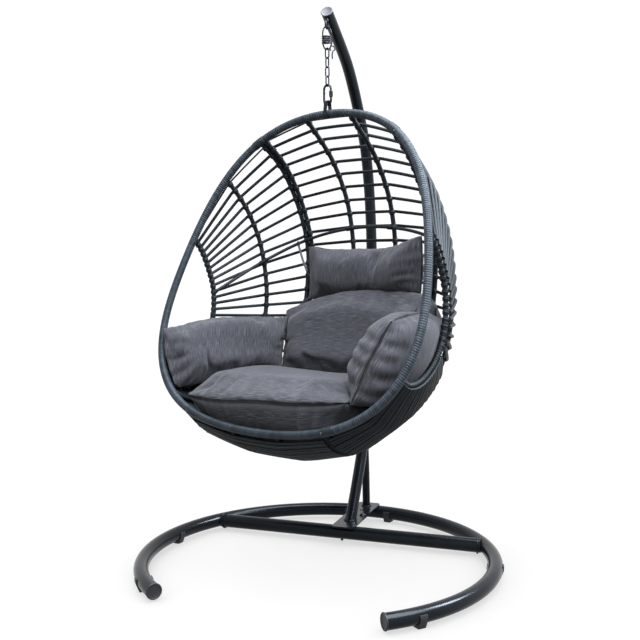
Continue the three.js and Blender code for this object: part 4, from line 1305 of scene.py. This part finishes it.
def add_cushions():
    placed = []
    for pillow in PILLOWS:
        obj, from_seam = pillow.make()
        settle_cloth(obj, from_seam)
        for last in (False, False, True):
            keep_inside_bowl(obj)
            keep_off_rim(obj)
            keep_off(obj, placed)
            if not last:
                relax(obj)
        refine(obj)
        obj.data.materials.append(MATERIALS[pillow.streaks])
        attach(obj, "basket")
        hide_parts(pillow.node)
        placed.append(obj)


KNOT = 9


def add_pillow_ties():
    """Cloth tapes that tie the head pillow's ends to the brace."""
    tapes = Surface()
    brace = brace_line()
    for spot in ((-228, 152, -548), (330, 110, -536)):
        end = upright_points(spot)
        hold = brace[np.argmin(np.linalg.norm(brace - end, axis=1))]
        line = even_spline([end, (end + hold) / 2 - UP * 6 * MM, hold], 24)
        add_tube(tapes, line, 1.4 * MM, UP, 10, wide=3.2)
        loop = [hold + d * KNOT * MM for d in (UP, RIGHTWARD, -UP, -RIGHTWARD)]
        knot = even_spline(loop, 24)
        add_tube(tapes, knot, 2.0 * MM, FORWARD, 10, closed=True)
    piece = tapes.build("pillow_ties", "cloth_across", "basket", "charcoal_fabric")
    piece.data.attributes.new("seam", "FLOAT", "POINT")


# ---------------------------------------------------------------- carried-over nodes
CARRIED = {
    "base_plate": ("steel", "black_steel", 1.2),
    "rim_eye": ("zinc", "zinc_steel", 0.8),
    "rib_clip_left": ("rib", "zinc_steel", 0.6),
    "rib_clip_right": ("rib", "zinc_steel", 0.6),
    **{f"foot_{i}": ("plastic", "black_plastic", 0.7) for i in range(1, 7)},
}


def finish_carried_nodes():
    for node, (material, slot, round_edge) in CARRIED.items():
        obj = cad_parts[node]
        obj.data.materials.clear()
        obj.data.materials.append(MATERIALS[material])
        bevel = obj.modifiers.new("edge", "BEVEL")
        bevel.width, bevel.segments, bevel.limit_method = round_edge * MM, 3, "ANGLE"
        bevel.angle_limit = math.radians(40)
        bevel.use_clamp_overlap = True


# ---------------------------------------------------------------- studio
CAMERA_PLACE, LENS, SENSOR = (1.0875, -3.0311, 1.0809), 52.27, 36
CAMERA_TURN = (20.04, 4.18, -0.55)  # degrees round the chair, downwards, and of roll
FLOOR_HALF = 90
AIM = Vector((0, 0, 0.95))
LAMPS = {
    "top": ((1.0, -0.7, 4.0), 4.4, 1250, (0.9, 0.95, 1.0)),
    "key": ((2.6, -3.4, 3.0), 1.4, 12, (1.0, 0.98, 0.96)),
    "side": ((-3.4, -1.6, 2.2), 1.2, 10, (0.86, 0.93, 1.0)),
    "behind": ((2.6, 1.4, 2.9), 1.0, 260, (0.84, 0.92, 1.0)),
}


def add_camera():
    camera = link_new("camera", bpy.data.cameras.new("camera"))
    bpy.context.scene.camera = camera
    camera.data.lens, camera.data.sensor_width = LENS, SENSOR
    camera.location = CAMERA_PLACE
    azimuth, elevation, roll = map(math.radians, CAMERA_TURN)
    camera.rotation_euler = (Euler((math.pi / 2 - elevation, 0, azimuth)).to_matrix()
                             @ Euler((0, 0, roll)).to_matrix()).to_euler()


def add_world():
    scene = bpy.context.scene
    scene.view_settings.view_transform = "Standard"
    scene.world = bpy.data.worlds.new("studio")
    scene.world.use_nodes = True
    background = scene.world.node_tree.nodes["Background"]
    background.inputs["Color"].default_value = (1, 1, 1, 1)
    background.inputs["Strength"].default_value = 1.06


def add_floor():
    """A plain pale floor, partly lit from within, so that the chair's shadow on it stays faint."""
    mesh = bpy.data.meshes.new("floor")
    corners = [(x * FLOOR_HALF, y * FLOOR_HALF, 0) for x, y in ((-1, -1), (1, -1), (1, 1), (-1, 1))]
    mesh.from_pydata(corners, [], [(0, 1, 2, 3)])
    n = Nodes("studio_floor", Roughness=0.9, Specular_IOR_Level=0.1,
              Emission_Color=(1, 1, 1, 1), Emission_Strength=0.56)
    cloud = n.noise(n.coordinates("Object"), 1.5, 2)
    tone = n.ramp(cloud, [(0.3, (0.48,) * 3), (0.7, (0.51,) * 3)])
    mesh.materials.append(n.set(Base_Color=tone))
    floor = link_new("floor", mesh)
    return floor


def add_lamps(floor):
    """Soft lamps that light the chair but not the floor."""
    receivers = bpy.data.collections.new("lamp_receivers")
    receivers.objects.link(floor)
    receivers.collection_objects[0].light_linking.link_state = "EXCLUDE"
    for name, (place, size, power, tint) in LAMPS.items():
        data = bpy.data.lights.new(name, "AREA")
        data.size, data.energy, data.color = size, power, tint
        lamp = link_new(name, data)
        lamp.light_linking.receiver_collection = receivers
        lamp.location = place
        lamp.rotation_euler = (AIM - Vector(place)).to_track_quat("-Z", "Y").to_euler()


add_camera()
add_world()
add_lamps(add_floor())
add_tubes()
add_welds()
add_plugs()
add_stand_fittings()
add_spring()
add_chain()
add_rim()
add_collars()
add_ribs()
add_brace()
add_weave()
add_cushions()
add_pillow_ties()
finish_carried_nodes()
